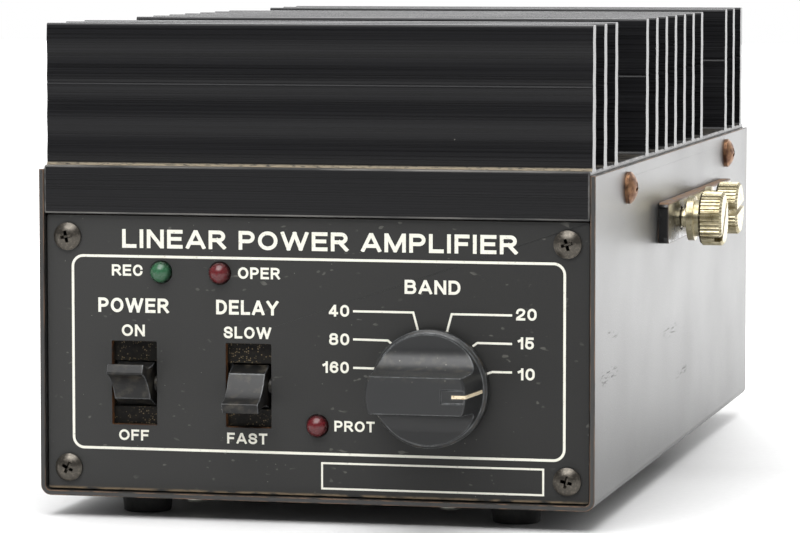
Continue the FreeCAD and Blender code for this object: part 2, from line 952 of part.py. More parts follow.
def switch_body(x):
    """The housing behind the bracket, its two cheeks reaching forward to carry the pin."""
    z = switch_height
    half = switch_body_width / 2
    tall = switch_body_height / 2
    front = bracket_back
    body = block(x - half, x + half, front, front + switch_body_depth, z - tall, z + tall)
    body = round_edges(body, panel_edge_round * 2, runs_along("y"))
    ears = block(x - switch_ear_width / 2, x + switch_ear_width / 2, front,
                 front + switch_ear_thickness, z - switch_ear_reach, z + switch_ear_reach)
    body = body.fuse(ears)
    well = paddle_width / 2 + drum_clearance
    start = Vector(x - well, pivot_y, z)
    for side in (-1, 1):
        cheek_x = x + side * (well + cheek_thickness / 2) - cheek_thickness / 2
        boss = rod(cheek_radius, Vector(cheek_x, pivot_y, z), RIGHT, cheek_thickness)
        arm = block(cheek_x, cheek_x + cheek_thickness, pivot_y, front + cheek_thickness,
                    z - cheek_radius, z + cheek_radius)
        body = body.fuse(boss).fuse(arm)
    body = body.cut(rod(paddle_drum_radius + drum_clearance, start, RIGHT, 2 * well))
    body = body.cut(rod(pin_radius + hole_clearance / 2, start - Vector(half, 0, 0), RIGHT,
                        2 * (half + well)))
    for side in (-1, 1):
        centre = Vector(x, front, z + side * switch_screw_spacing / 2)
        body = body.cut(rod(switch_screw_radius + hole_clearance, centre, BACK,
                            switch_ear_thickness))
    return body.removeSplitter()


def switch_terminals():
    """Solder lugs on the back of both paddle switches."""
    lugs = []
    back = bracket_back + switch_body_depth
    for x in (power_switch_x, delay_switch_x):
        for column in (-1, 1):
            for row in (-1, 0, 1):
                centre_x = x + column * terminal_pitch / 2
                centre_z = switch_height + row * terminal_pitch
                lugs.append(block(centre_x - terminal_thickness / 2,
                                  centre_x + terminal_thickness / 2, back,
                                  back + terminal_length, centre_z - terminal_width / 2,
                                  centre_z + terminal_width / 2))
    return lugs


def switch_screws():
    """Countersunk screws, flush in the bracket behind the panel."""
    screws = []
    for x in (power_switch_x, delay_switch_x):
        for side in (-1, 1):
            seat = Vector(x, panel_back, switch_height + side * switch_screw_spacing / 2)
            length = bracket_sheet + switch_ear_thickness
            points = [(0, 0), (switch_screw_head_radius, 0),
                      (switch_screw_radius, bracket_sheet), (switch_screw_radius, length),
                      (0, length)]
            screws.append(lathe(points, seat, BACK))
    return group(screws)


# ---------------------------------------------------------------------------------------------
# Lamps
# ---------------------------------------------------------------------------------------------


def lamp(x, z):
    """A round lamp: domed lens, flange at its foot and two leads."""
    tip = panel_front - lamp_proud
    foot = tip + lamp_length
    dome = lamp_radius * math.sqrt(0.5)
    points = [(0, 0), (lamp_flange_radius, 0), (lamp_flange_radius, lamp_flange),
              (lamp_radius, lamp_flange), (lamp_radius, lamp_length - lamp_radius),
              (dome, lamp_length - lamp_radius + dome, 0, lamp_length)]
    lens = lathe(points, Vector(x, foot, z), FORWARD)
    for side in (-1, 1):
        start = Vector(x + side * lamp_lead_pitch / 2, foot, z)
        lens = lens.fuse(rod(lamp_lead_radius, start, BACK, lamp_lead))
    return lens


def led_clips():
    """A collar behind the bracket round each lamp, holding its flange."""
    clips = []
    foot = panel_front - lamp_proud + lamp_length
    for x, z in lamp_places:
        centre = Vector(x, bracket_back, z)
        length = foot - bracket_back
        clip = rod(clip_radius, centre, BACK, length)
        clip = clip.cut(rod(lamp_radius + hole_clearance, centre, BACK, length))
        seat = centre + Vector(0, length - lamp_flange, 0)
        clip = clip.cut(rod(lamp_flange_radius + hole_clearance, seat, BACK, lamp_flange))
        clips.append(clip)
    return group(clips)


# ---------------------------------------------------------------------------------------------
# Band knob and rotary switch
# ---------------------------------------------------------------------------------------------


def knob_body():
    """The turned outside of the knob, before the scoops: skirt, step and tapered body."""
    skirt_top = knob_skirt_height
    body_height = knob_back - knob_front
    corner = knob_front_round * (1 - math.sqrt(0.5))
    rim = knob_skirt_radius - knob_skirt_chamfer
    points = [(0, 0), (knob_skirt_radius, 0),
              (knob_skirt_radius, skirt_top - knob_skirt_chamfer),
              (rim, skirt_top), (knob_body_radius, skirt_top),
              (knob_front_radius, body_height - knob_front_round),
              (knob_front_radius - corner, body_height - corner,
               knob_front_radius - knob_front_round, body_height), (0, body_height)]
    return lathe(points, Vector(knob_x, knob_back, knob_z), FORWARD)


def knob_scoop(side):
    """What is cut away above or below the grip bar: a drafted side run into a flat by an arc."""
    grip = knob_grip_height / 2
    radius = knob_scoop_radius
    flat_y = panel_front - knob_face_depth
    foot = grip + knob_grip_draft
    top = knob_skirt_radius + radius
    mid = radius * math.sqrt(0.5)
    ahead = knob_front - radius
    points = [(ahead, grip), (knob_front, grip), (flat_y - radius, foot),
              (flat_y - radius + mid, foot + radius - mid, flat_y, foot + radius),
              (flat_y, top), (ahead, top)]
    start = knob_x - knob_skirt_radius
    return plate_of(points, lambda y, z: Vector(start, y, knob_z + side * z),
                    Vector(2 * knob_skirt_radius, 0, 0))


def knob_pointer():
    """The inlaid line: along the grip's face and down its right-hand end."""
    half = pointer_width / 2
    end_y = panel_front - knob_face_depth
    taper = (knob_body_radius - knob_front_radius) / (knob_back - knob_front - knob_skirt_height)
    reach = knob_front_radius + taper * (end_y - knob_front)
    face_y = knob_front + knob_strip_depth
    round_start = knob_front_radius - knob_front_round
    corner = knob_front_round * (1 - math.sqrt(0.5))
    depth = knob_strip_depth
    points = [(pointer_start, face_y - pointer_proud), (round_start, face_y - pointer_proud),
              (knob_front_radius - corner + pointer_proud / 2, knob_front + corner,
               knob_front_radius + pointer_proud, knob_front + knob_front_round),
              (reach + pointer_proud, end_y), (reach - depth, end_y),
              (knob_front_radius - depth, knob_front + knob_front_round + depth),
              (round_start - depth, face_y + depth), (pointer_start, face_y + depth)]
    return plate_of(points, lambda x, y: Vector(knob_x + x, y, knob_z - half),
                    Vector(0, 0, pointer_width))


def band_knob():
    knob = knob_body()
    for side in (-1, 1):
        knob = knob.cut(knob_scoop(side))
    strip = block(knob_x + knob_front_radius - knob_strip_length,
                  knob_x + knob_front_radius + knob_front_round, knob_front,
                  knob_front + knob_strip_depth, knob_z - knob_strip_width / 2,
                  knob_z + knob_strip_width / 2)
    knob = knob.cut(strip)
    axis_back = Vector(knob_x, knob_back, knob_z)
    knob = knob.cut(rod(knob_cavity_radius, axis_back, FORWARD, knob_cavity_depth))
    knob = knob.cut(rod(shaft_radius + hole_clearance / 2, axis_back, FORWARD,
                        knob_back - shaft_front()))
    knob = knob.cut(rod(grub_radius + hole_clearance / 2, grub_seat(), -RIGHT,
                        knob_skirt_radius))
    return knob.cut(knob_pointer())


def shaft_front():
    return panel_front - shaft_in_knob


def grub_seat():
    y = (shaft_front() + knob_back - knob_cavity_depth) / 2
    return Vector(knob_x - shaft_radius - hole_clearance / 2, y, knob_z)


def knob_grub_screw():
    return rod(grub_radius, grub_seat(), -RIGHT, grub_length)


def wafer_y(index):
    return bracket_back + first_wafer_depth + index * wafer_pitch


def band_shaft():
    end = wafer_y(wafer_count - 1) + wafer_thickness + rod_end_nut
    return rod(shaft_radius, Vector(knob_x, shaft_front(), knob_z), BACK, end - shaft_front())


def switch_index():
    """The switch's front plate with its threaded bushing, which passes through both sheets."""
    half = index_size / 2
    plate = block(knob_x - half, knob_x + half, bracket_back, bracket_back + index_plate,
                  knob_z - half - bushing_radius, knob_z + half + bushing_radius)
    plate = round_edges(plate, index_round, runs_along("y"))
    length = bushing_proud + panel_thickness + bracket_sheet
    start = Vector(knob_x, panel_front - bushing_proud, knob_z)
    plate = plate.fuse(rod(bushing_radius, start, BACK, length))
    plate = plate.cut(rod(shaft_radius + shaft_clearance, start, BACK, length + index_plate))
    holes = [Vector(x, bracket_back, z) for x, z in rod_places()]
    return drilled(plate, holes, rod_radius + hole_clearance / 2, BACK, index_plate)


def switch_nut():
    seat = Vector(knob_x, panel_front, knob_z)
    washer = rod(nut_washer_radius, seat, FORWARD, nut_washer_thickness)
    nut = regular_bar(nut_flats, HEXAGON, seat + FORWARD * nut_washer_thickness, FORWARD,
                      nut_thickness)
    bore = rod(bushing_radius + hole_clearance / 2, seat, FORWARD, knob_height)
    return group([washer.cut(bore), nut.cut(bore)])


def detent_wheel():
    start = bracket_back + index_plate + detent_gap
    wheel = tube(detent_wheel_radius, shaft_radius + hole_clearance / 2,
                 Vector(knob_x, start, knob_z), BACK, detent_wheel_thickness)
    for i in range(detent_notch_count):
        angle = 2 * math.pi * i / detent_notch_count
        centre = Vector(knob_x + detent_wheel_radius * math.cos(angle), start,
                        knob_z + detent_wheel_radius * math.sin(angle))
        wheel = wheel.cut(rod(detent_notch_radius, centre, BACK, detent_wheel_thickness))
    return wheel


def rod_places():
    return [(knob_x, knob_z + side * rod_spacing / 2) for side in (-1, 1)]


def switch_wafers():
    """The fixed wafers: a disc with an ear at top and bottom for the rods, and contact lugs."""
    pieces = []
    for i in range(wafer_count):
        y = wafer_y(i)
        wafer = rod(wafer_radius, Vector(knob_x, y, knob_z), BACK, wafer_thickness)
        for x, z in rod_places():
            ear = rod(rod_spacer_radius + rod_radius, Vector(x, y, z), BACK, wafer_thickness)
            wafer = wafer.fuse(ear)
        bore = rotor_radius + flat_clearance
        wafer = wafer.cut(rod(bore, Vector(knob_x, y, knob_z), BACK, wafer_thickness))
        holes = [Vector(x, y, z) for x, z in rod_places()]
        wafer = drilled(wafer, holes, rod_radius + hole_clearance / 2, BACK, wafer_thickness)
        pieces.append(wafer)
    return group(pieces)


def wafer_contacts():
    """Contact lugs standing out from both sides of each wafer."""
    pieces = []
    for i in range(wafer_count):
        y = wafer_y(i) + wafer_thickness
        for side_angle in (0, 180):
            for k in range(wafer_side_lug_count):
                angle = side_angle + (k - (wafer_side_lug_count - 1) / 2) * lug_step_angle
                lug = block(wafer_radius - lug_reach, wafer_radius + lug_reach, y,
                            y + lug_thickness, -lug_width / 2, lug_width / 2)
                lug.rotate(Vector(0, 0, 0), BACK, angle)
                lug.translate(Vector(knob_x, 0, knob_z))
                pieces.append(lug)
    return pieces


def switch_rotors():
    rotors = [tube(rotor_radius, shaft_radius + hole_clearance / 2,
                   Vector(knob_x, wafer_y(i), knob_z), BACK, wafer_thickness)
              for i in range(wafer_count)]
    return group(rotors)


def switch_rods():
    """Two tie rods with a spacer tube before each wafer and a nut behind the last."""
    pieces = []
    first = bracket_back
    last = wafer_y(wafer_count - 1) + wafer_thickness
    for x, z in rod_places():
        bar = rod(rod_radius, Vector(x, first, z), BACK, last + rod_end_nut - first)
        starts = [bracket_back + index_plate]
        starts += [wafer_y(i) + wafer_thickness for i in range(wafer_count - 1)]
        for i, start in enumerate(starts):
            spacer = rod(rod_spacer_radius, Vector(x, start, z), BACK, wafer_y(i) - start)
            bar = bar.fuse(spacer)
        nut = regular_bar(2 * rod_end_nut_radius, HEXAGON, Vector(x, last, z), BACK,
                          rod_end_nut)
        pieces.append(bar.fuse(nut))
    return group(pieces)


# ---------------------------------------------------------------------------------------------
# Side rails and thumb screws
# ---------------------------------------------------------------------------------------------


def mount_rail(side):
    start = case_front + rail_from_front
    near, far = sorted((side * half_width, side * (half_width + rail_thickness)))
    rail = block(near, far, start, start + rail_length, rail_z - rail_height / 2,
                 rail_z + rail_height / 2)
    rail = round_edges(rail, rail_corner_round, runs_along("x"))
    inner = Vector(side * half_width, 0, 0)
    outward = Vector(side, 0, 0)
    thumb_holes = [inner + Vector(0, case_front + place[1], rail_z) for place in thumb_places]
    rail = drilled(rail, thumb_holes, thumb_radius + thumb_hole_clearance, outward,
                   rail_thickness)
    tapped = [inner + Vector(0, y, rail_z) for y in rail_screw_ys()]
    return drilled(rail, tapped, m3_radius + hole_clearance, outward, rail_tap_depth)


def rail_nuts():
    """Closed-end nuts pressed into the case wall, so that nothing gets in past the thumb screws."""
    nuts = []
    for side in (-1, 1):
        inward = Vector(-side, 0, 0)
        for place in thumb_places:
            seat = Vector(side * inner_half_width, case_front + place[1], rail_z)
            nut = rod(rail_nut_radius, seat, inward, rail_nut_depth + rail_nut_end)
            nuts.append(nut.cut(rod(thumb_radius + thumb_thread_clearance, seat, inward,
                                    rail_nut_depth)))
    return group(nuts)


def thumb_seat(side, place):
    """Where the washer's inner face lies: on the rail, or backed off from it."""
    _, from_front, backed_off, _ = place
    x = side * (half_width + rail_thickness + backed_off)
    return Vector(x, case_front + from_front, rail_z)


def thumb_washer(side, place):
    return tube(thumb_washer_radius, thumb_radius + thumb_thread_clearance,
                thumb_seat(side, place), Vector(side, 0, 0), thumb_washer_thickness)


def knurled_head():
    """A straight-knurled drum standing on the floor at the origin, with bevelled rims."""
    points = []
    for i in range(thumb_knurl_count):
        for k, radius in ((0, thumb_head_radius), (0.5, thumb_head_radius - thumb_knurl_depth)):
            angle = 2 * math.pi * (i + k) / thumb_knurl_count
            points.append(Vector(radius * math.cos(angle), radius * math.sin(angle), 0))
    knurl = Part.Face(Part.makePolygon(points + [points[0]]))
    knurl = knurl.extrude(Vector(0, 0, thumb_head_length))
    inside = thumb_head_radius - thumb_head_bevel
    envelope = [(0, 0), (inside, 0), (thumb_head_radius, thumb_head_bevel),
                (thumb_head_radius, thumb_head_length - thumb_head_bevel),
                (inside, thumb_head_length), (0, thumb_head_length)]
    return knurl.common(lathe(envelope, Vector(0, 0, 0), UP))


def thumb_screw(side, place):
    """Shank, neck ring and knurled head with a driver slot, on the axis of its washer."""
    slot_angle = place[3]
    head = knurled_head()
    slot = block(-thumb_slot_width / 2, thumb_slot_width / 2, -2 * thumb_head_radius,
                 2 * thumb_head_radius, thumb_head_length - thumb_slot_depth,
                 2 * thumb_head_length)
    slot.rotate(Vector(0, 0, 0), UP, slot_angle)
    head = head.cut(slot)
    head.translate(Vector(0, 0, thumb_neck_length))
    neck = rod(thumb_neck_radius, Vector(0, 0, 0), UP, thumb_neck_length)
    shank = rod(thumb_radius, Vector(0, 0, -thumb_shank), UP, thumb_shank)
    screw = head.fuse(neck).fuse(shank)
    seat = thumb_seat(side, place) + Vector(side * thumb_washer_thickness, 0, 0)
    screw.Placement = FreeCAD.Placement(seat, FreeCAD.Rotation(UP, Vector(side, 0, 0)))
    return screw


# ---------------------------------------------------------------------------------------------
# Rear connectors
# ---------------------------------------------------------------------------------------------


def coax_socket(x, z):
    """A screw-ring coax socket: square flange, threaded shell, insulator and centre contact."""
    half = socket_flange / 2
    seat = Vector(x, rear_face, z)
    flange = block(x - half, x + half, rear_face, rear_face + socket_flange_thickness,
                   z - half, z + half)
    flange = round_edges(flange, socket_flange_round, runs_along("y"))
    length = socket_flange_thickness + socket_shell_length
    shell = rod(socket_shell_radius, seat, BACK, length)
    well_start = seat + BACK * (length - socket_bore_depth)
    well = rod(socket_shell_bore, well_start, BACK, socket_bore_depth)
    core = rod(socket_core_radius, well_start, BACK, socket_bore_depth - socket_core_short)
    contact = rod(socket_contact_bore, well_start, BACK, socket_bore_depth)
    back = rod(socket_back_radius, seat, FORWARD, socket_back_length)
    socket = flange.fuse(shell).cut(well).fuse(core).cut(contact).fuse(back)
    corners = [(i, j) for i in (-1, 1) for j in (-1, 1)]
    holes = [Vector(x + i * socket_screw_spacing / 2, rear_face,
                    z + j * socket_screw_spacing / 2) for i, j in corners]
    return drilled(socket, holes, m3_radius + hole_clearance, BACK, socket_flange_thickness)


def socket_screws():
    return group(pan_screw(Vector(x, rear_face + socket_flange_thickness, z), BACK)
                 for x, z in socket_screw_places())


def phono_jacks():
    """Two phono jacks: hexagon shoulder, barrel with its well, and a body behind the panel."""
    jacks = []
    for x, z in jack_places():
        seat = Vector(x, rear_face, z)
        jack = regular_bar(jack_flats, HEXAGON, seat, BACK, jack_flange_thickness)
        foot = seat + BACK * jack_flange_thickness
        jack = jack.fuse(rod(jack_barrel_radius, foot, BACK, jack_barrel_length))
        well = rod(jack_barrel_bore, foot, BACK, jack_barrel_length)
        core = rod(jack_core_radius, foot, BACK, jack_barrel_length)
        pin = rod(jack_pin_bore, foot, BACK, jack_barrel_length)
        back = rod(jack_back_radius, seat, FORWARD, jack_back_length)
        jacks.append(jack.cut(well).fuse(core).cut(pin).fuse(back))
    return group(jacks)


def power_inlet():
    """A flanged rectangular inlet with a shrouded well and two round pins."""
    x, z = panel_x(inlet_from_left), panel_z(inlet_height)
    wide, tall = inlet_width / 2, inlet_tall / 2
    body = block(x - wide, x + wide, rear_face - inlet_back, rear_face + inlet_proud,
                 z - tall, z + tall)
    body = round_edges(body, socket_flange_round, runs_along("y"))
    flange = block(x - wide - inlet_flange, x + wide + inlet_flange, rear_face,
                   rear_face + inlet_flange_thickness, z - tall - inlet_flange,
                   z + tall + inlet_flange)
    flange = round_edges(flange, socket_flange_round, runs_along("y"))
    well = block(x - wide + inlet_wall, x + wide - inlet_wall, rear_face,
                 rear_face + inlet_proud, z - tall + inlet_wall, z + tall - inlet_wall)
    inlet = body.fuse(flange).cut(well)
    for side in (-1, 1):
        start = Vector(x + side * inlet_pin_pitch / 2, rear_face, z)
        length = inlet_proud - inlet_wall
        inlet = inlet.fuse(rod(inlet_pin_radius, start, BACK, length))
    return inlet


def ground_point(y):
    return Vector(ground_x, y, panel_z(ground_height))


def ground_stud():
    """The earth stud: head inside, collar on the panel, plain end outside."""
    head = regular_bar(2 * ground_head_radius, HEXAGON, ground_point(rear_inner), FORWARD,
                       ground_head)
    length = rear_face + ground_stud_proud - rear_inner
    shank = rod(ground_radius, ground_point(rear_inner), BACK, length)
    collar = regular_bar(2 * ground_head_radius, HEXAGON, ground_point(rear_face), BACK,
                         ground_collar)
    return head.fuse(shank).fuse(collar)


def ground_washer():
    return tube(ground_washer_radius, ground_radius + thumb_thread_clearance,
                ground_point(rear_face + ground_collar), BACK, ground_washer_thickness)


def ground_wing_nut():
    start = ground_point(rear_face + ground_collar + ground_washer_thickness)
    nut = Part.makeCone(wing_hub_radius, wing_hub_top_radius, wing_hub_length, start, BACK)
    tip = wing_reach - wing_tip_round
    points = [(wing_root_radius, wing_foot), (tip, wing_low),
              (wing_reach, (wing_low + wing_height) / 2, tip, wing_height),
              (wing_inner, wing_shoulder), (wing_root_radius, wing_root_height)]
    for side in (-1, 1):
        place = lambda u, v: start + Vector(side * u, v, -wing_thickness / 2)
        nut = nut.fuse(plate_of(points, place, Vector(0, 0, wing_thickness)))
    bore = rod(ground_radius + thumb_thread_clearance, start, BACK, wing_hub_length)
    return nut.cut(bore)


# ---------------------------------------------------------------------------------------------
# Boards and what they carry
# ---------------------------------------------------------------------------------------------


def floor_boards():
    """X and Y extents of the two boards on the case floor."""
    left = -inner_half_width + filter_board_from_left
    front = case_front + filter_board_from_front
    rear = case_back - relay_board_from_back
    return ((left, left + filter_board_width, front, front + filter_board_depth),
            (-relay_board_width / 2, relay_board_width / 2, rear - relay_board_depth, rear))


def corners_inside(extent, inset):
    x0, x1, y0, y1 = extent
    return [(x, y) for x in (x0 + inset, x1 - inset) for y in (y0 + inset, y1 - inset)]


def floor_spacer_centres():
    return [place for extent in floor_boards()
            for place in corners_inside(extent, board_hole_inset)]


def board(extent, underside, hole_centres):
    plate = block(*extent, underside, underside + board_thickness)
    holes = [Vector(x, y, underside) for x, y in hole_centres]
    return drilled(plate, holes, m3_radius + hole_clearance, UP, board_thickness)


def floor_board(extent):
    return board(extent, board_underside, corners_inside(extent, board_hole_inset))


def pa_board_extent():
    front = case_front + pa_board_from_front
    return (-pa_board_width / 2, pa_board_width / 2, front, front + pa_board_depth)


def pa_spacer_centres():
    return corners_inside(pa_board_extent(), board_hole_inset)


def board_spacers():
    """Spacers under the floor boards and above the hanging board."""
    pieces = [tube(board_spacer_radius, m3_radius + hole_clearance,
                   Vector(x, y, case_floor), UP, board_spacer)
              for x, y in floor_spacer_centres()]
    pieces += [tube(board_spacer_radius, m3_radius + hole_clearance,
                    Vector(x, y, pa_board_top), UP, pa_spacer)
               for x, y in pa_spacer_centres()]
    return group(pieces)


def board_screws():
    """Screws that hold the boards to their spacers, and the transistors to the sink."""
    pieces = [pan_screw(Vector(x, y, board_top), UP, board_thickness + spacer_thread)
              for x, y in floor_spacer_centres()]
    pieces += [pan_screw(Vector(x, y, pa_board_underside), DOWN,
                         board_thickness + pa_spacer + sink_screw_bite)
               for x, y in pa_spacer_centres()]
    pieces += [pan_screw(Vector(x, y, sink_underside - transistor_flange), DOWN,
                         transistor_flange + sink_screw_bite)
               for x, y in transistor_screw_places()]
    return group(pieces)


def transistor_centres():
    y = case_front + transistor_from_front
    return [(side * transistor_spacing / 2, y) for side in (-1, 1)]


def transistor_screw_places():
    half = transistor_screw_spacing / 2
    return [(x, y + side * half) for x, y in transistor_centres() for side in (-1, 1)]


def pa_board():
    plate = board(pa_board_extent(), pa_board_underside, pa_spacer_centres())
    for x, y in transistor_centres():
        wide = transistor_cap_radius + transistor_lead_length / 2
        tall = transistor_flange_length / 2 + transistor_window
        window = block(x - wide, x + wide, y - tall, y + tall, pa_board_underside,
                       pa_board_top)
        plate = plate.cut(window)
    return plate


def pa_transistors():
    """Flanged transistors on the sink: metal flange, round ceramic cap and ribbon leads."""
    pieces = []
    for x, y in transistor_centres():
        wide = transistor_flange_width / 2
        tall = transistor_flange_length / 2
        flange = block(x - wide, x + wide, y - tall, y + tall,
                       sink_underside - transistor_flange, sink_underside)
        holes = [Vector(x, y + side * transistor_screw_spacing / 2, sink_underside)
                 for side in (-1, 1)]
        flange = drilled(flange, holes, m3_radius + hole_clearance, DOWN, transistor_flange)
        under = sink_underside - transistor_flange
        cap = rod(transistor_cap_radius, Vector(x, y, under), DOWN, transistor_cap)
        reach = transistor_cap_radius + transistor_lead_length
        leads = block(x - reach, x + reach, y - transistor_lead_width / 2,
                      y + transistor_lead_width / 2, pa_board_top,
                      pa_board_top + transistor_lead)
        pieces.append(flange.fuse(cap).fuse(leads))
    return group(pieces)


def binocular(from_front, radius, bore, length):
    """Two ferrite sleeves side by side under the board with metal tubes and end plates."""
    y = case_front + from_front - length / 2
    z = pa_board_underside - end_plate - radius
    pieces = []
    for side in (-1, 1):
        start = Vector(side * radius, y, z)
        sleeve = tube(radius - hole_clearance / 2, bore, start, BACK, length)
        liner = tube(bore, bore - tube_wall, start - BACK * end_plate, BACK,
                     length + 2 * end_plate)
        pieces.append(sleeve.fuse(liner))
    body = pieces[0].fuse(pieces[1])
    for plate_y in (y - end_plate, y + length):
        plate = block(-2 * radius, 2 * radius, plate_y, plate_y + end_plate, z - radius,
                      pa_board_underside)
        for side in (-1, 1):
            plate = plate.cut(rod(bore - tube_wall, Vector(side * radius, plate_y, z), BACK,
                                  end_plate))
        body = body.fuse(plate)
    return body


def pa_transformers():
    return group([binocular(output_transformer_from_front, ferrite_radius, ferrite_bore,
                            ferrite_length),
                  binocular(input_transformer_from_front, small_ferrite_radius,
                            small_ferrite_bore, small_ferrite_length)])


def coil_centres():
    x0, x1, y0, y1 = floor_boards()[0]
    middle_x, middle_y = (x0 + x1) / 2, (y0 + y1) / 2
    columns = [(i - (coil_column_count - 1) / 2) * coil_spacing
               for i in range(coil_column_count)]
    rows = [(j - (coil_row_count - 1) / 2) * coil_spacing for j in range(coil_row_count)]
    return [(middle_x + dx, middle_y + dy) for dx in columns for dy in rows]


def filter_coils():
    """Toroids standing on edge in a foot on the board."""
    coils = []
    for x, y in coil_centres():
        centre = Vector(x, y - coil_width / 2, board_top + coil_outer)
        coil = tube(coil_outer, coil_inner, centre, BACK, coil_width)
        half = coil_width / 2
        foot = block(x - half, x + half, y - half, y + half, board_top,
                     board_top + (coil_outer - coil_inner) / 2)
        coils.append(coil.fuse(foot))
    return group(coils)


def filter_capacitors():
    """Flat capacitors, one beside each coil."""
    pieces = []
    for x, y in coil_centres():
        start_x = x + coil_spacing / 2 - capacitor_width / 2
        pieces.append(block(start_x, start_x + capacitor_width, y - capacitor_depth / 2,
                            y + capacitor_depth / 2, board_top, board_top + capacitor_height))
    return group(pieces)


def antenna_relay():
    x0, _, y0, y1 = floor_boards()[1]
    start_x = x0 + 2 * board_hole_inset
    middle = (y0 + y1) / 2
    relay = block(start_x, start_x + relay_width, middle - relay_depth / 2,
                  middle + relay_depth / 2, board_top, board_top + relay_height)
    return round_edges(relay, panel_edge_round * 2, runs_along("z"))


def supply_capacitor():
    _, x1, y0, y1 = floor_boards()[1]
    centre = Vector(x1 - 2 * board_hole_inset - supply_can_radius, (y0 + y1) / 2, board_top)
    points = [(0, 0), (supply_can_radius, 0),
              (supply_can_radius, supply_can_height - supply_can_bevel),
              (supply_can_radius - supply_can_bevel, supply_can_height), (0, supply_can_height)]
    return lathe(points, centre, UP)


# ---------------------------------------------------------------------------------------------
# Build and write
# ---------------------------------------------------------------------------------------------


def all_nodes():
    nodes = {
        "lower_case": lower_case(),
        "heat_sink": heat_sink(),
        "front_panel": front_panel(),
        "front_bracket": front_bracket(),
        "rear_panel": rear_panel(),
        "rear_bracket": rear_bracket(),
        "panel_screws": panel_screws(),
        "side_screws": side_screws(),
        "chassis_screws": chassis_screws(),
        "rubber_feet": rubber_feet(),
        "foot_screws": foot_screws(),
        "rail_nuts": rail_nuts(),
        "power_paddle": paddle(power_switch_x, paddle_half_travel),
        "delay_paddle": paddle(delay_switch_x, -paddle_half_travel),
        "switch_housings": group([switch_body(power_switch_x), switch_body(delay_switch_x)]),
        "switch_pins": switch_pins(),
        "solder_lugs": group(switch_terminals() + wafer_contacts()),
        "switch_screws": switch_screws(),
        "led_clips": led_clips(),
        "band_knob": band_knob(),
        "knob_pointer": knob_pointer(),
        "knob_grub_screw": knob_grub_screw(),
        "band_shaft": band_shaft(),
        "switch_index": switch_index(),
        "switch_nut": switch_nut(),
        "detent_wheel": detent_wheel(),
        "switch_wafers": switch_wafers(),
        "switch_rotors": switch_rotors(),
        "switch_rods": switch_rods(),
        "socket_screws": socket_screws(),
        "phono_jacks": phono_jacks(),
        "power_inlet": power_inlet(),
        "ground_stud": ground_stud(),
        "ground_washer": ground_washer(),
        "ground_wing_nut": ground_wing_nut(),
        "filter_board": floor_board(floor_boards()[0]),
        "relay_board": floor_board(floor_boards()[1]),
        "board_spacers": board_spacers(),
        "board_screws": board_screws(),
        "pa_board": pa_board(),
        "pa_transistors": pa_transistors(),
        "pa_transformers": pa_transformers(),
        "filter_coils": filter_coils(),
        "filter_capacitors": filter_capacitors(),
        "antenna_relay": antenna_relay(),
        "supply_capacitor": supply_capacitor(),
    }
    lamps = [lamp(x, z) for x, z in lamp_places]
    nodes["green_led"] = lamps[0]
    nodes["red_leds"] = group(lamps[1:])
    for name, (x, z) in zip(("output_socket", "input_socket"), coax_places()):
        nodes[name] = coax_socket(x, z)
    for side_name, side in (("left", -1), ("right", 1)):
        nodes[side_name + "_mount_rail"] = mount_rail(side)
        for place in thumb_places:
            nodes[side_name + "_" + place[0] + "_thumb_screw"] = thumb_screw(side, place)
            nodes[side_name + "_" + place[0] + "_thumb_washer"] = thumb_washer(side, place)
    return nodes


os.makedirs("parts", exist_ok=True)
for node_name, node_shape in all_nodes().items():
    node_shape.exportStep("parts/" + node_name + ".step")
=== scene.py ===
import json
import math
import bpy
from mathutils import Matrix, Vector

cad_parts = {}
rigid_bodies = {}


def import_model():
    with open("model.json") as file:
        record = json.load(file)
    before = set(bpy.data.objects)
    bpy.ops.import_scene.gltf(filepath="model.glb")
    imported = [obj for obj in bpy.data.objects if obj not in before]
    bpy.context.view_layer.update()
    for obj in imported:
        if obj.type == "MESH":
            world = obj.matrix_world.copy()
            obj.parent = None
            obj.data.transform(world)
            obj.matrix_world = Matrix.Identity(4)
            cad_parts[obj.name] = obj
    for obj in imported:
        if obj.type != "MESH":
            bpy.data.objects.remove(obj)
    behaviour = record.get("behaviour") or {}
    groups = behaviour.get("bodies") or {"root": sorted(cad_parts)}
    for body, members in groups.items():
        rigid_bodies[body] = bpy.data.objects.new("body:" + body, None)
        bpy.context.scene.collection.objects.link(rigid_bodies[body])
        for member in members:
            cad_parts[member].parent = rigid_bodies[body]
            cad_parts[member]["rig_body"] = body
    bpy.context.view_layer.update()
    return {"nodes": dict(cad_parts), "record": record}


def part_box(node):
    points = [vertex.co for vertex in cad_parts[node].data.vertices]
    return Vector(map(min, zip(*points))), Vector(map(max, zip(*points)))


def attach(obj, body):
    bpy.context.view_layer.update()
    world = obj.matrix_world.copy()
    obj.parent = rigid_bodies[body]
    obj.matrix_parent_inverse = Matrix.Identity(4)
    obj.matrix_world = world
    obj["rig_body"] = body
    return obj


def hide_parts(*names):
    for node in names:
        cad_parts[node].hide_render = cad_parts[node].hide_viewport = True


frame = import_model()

from types import SimpleNamespace

import bmesh
import bpy
from mathutils import Matrix, Vector

# The finishes, lettering and fine hardware of an HF linear amplifier. Sizes are in millimetres,
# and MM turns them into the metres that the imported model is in.
MM = 0.001
SHARP = math.radians(32)
EASED_SHARP = math.radians(40)
KNURL_SHARP = math.radians(25)
UP = Vector((0, 0, 1))
RIGHT = Vector((1, 0, 0))
FORWARD = Vector((0, -1, 0))
BACK = Vector((0, 1, 0))

scene = bpy.context.scene

# ---- Sizes of what is made here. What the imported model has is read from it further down.

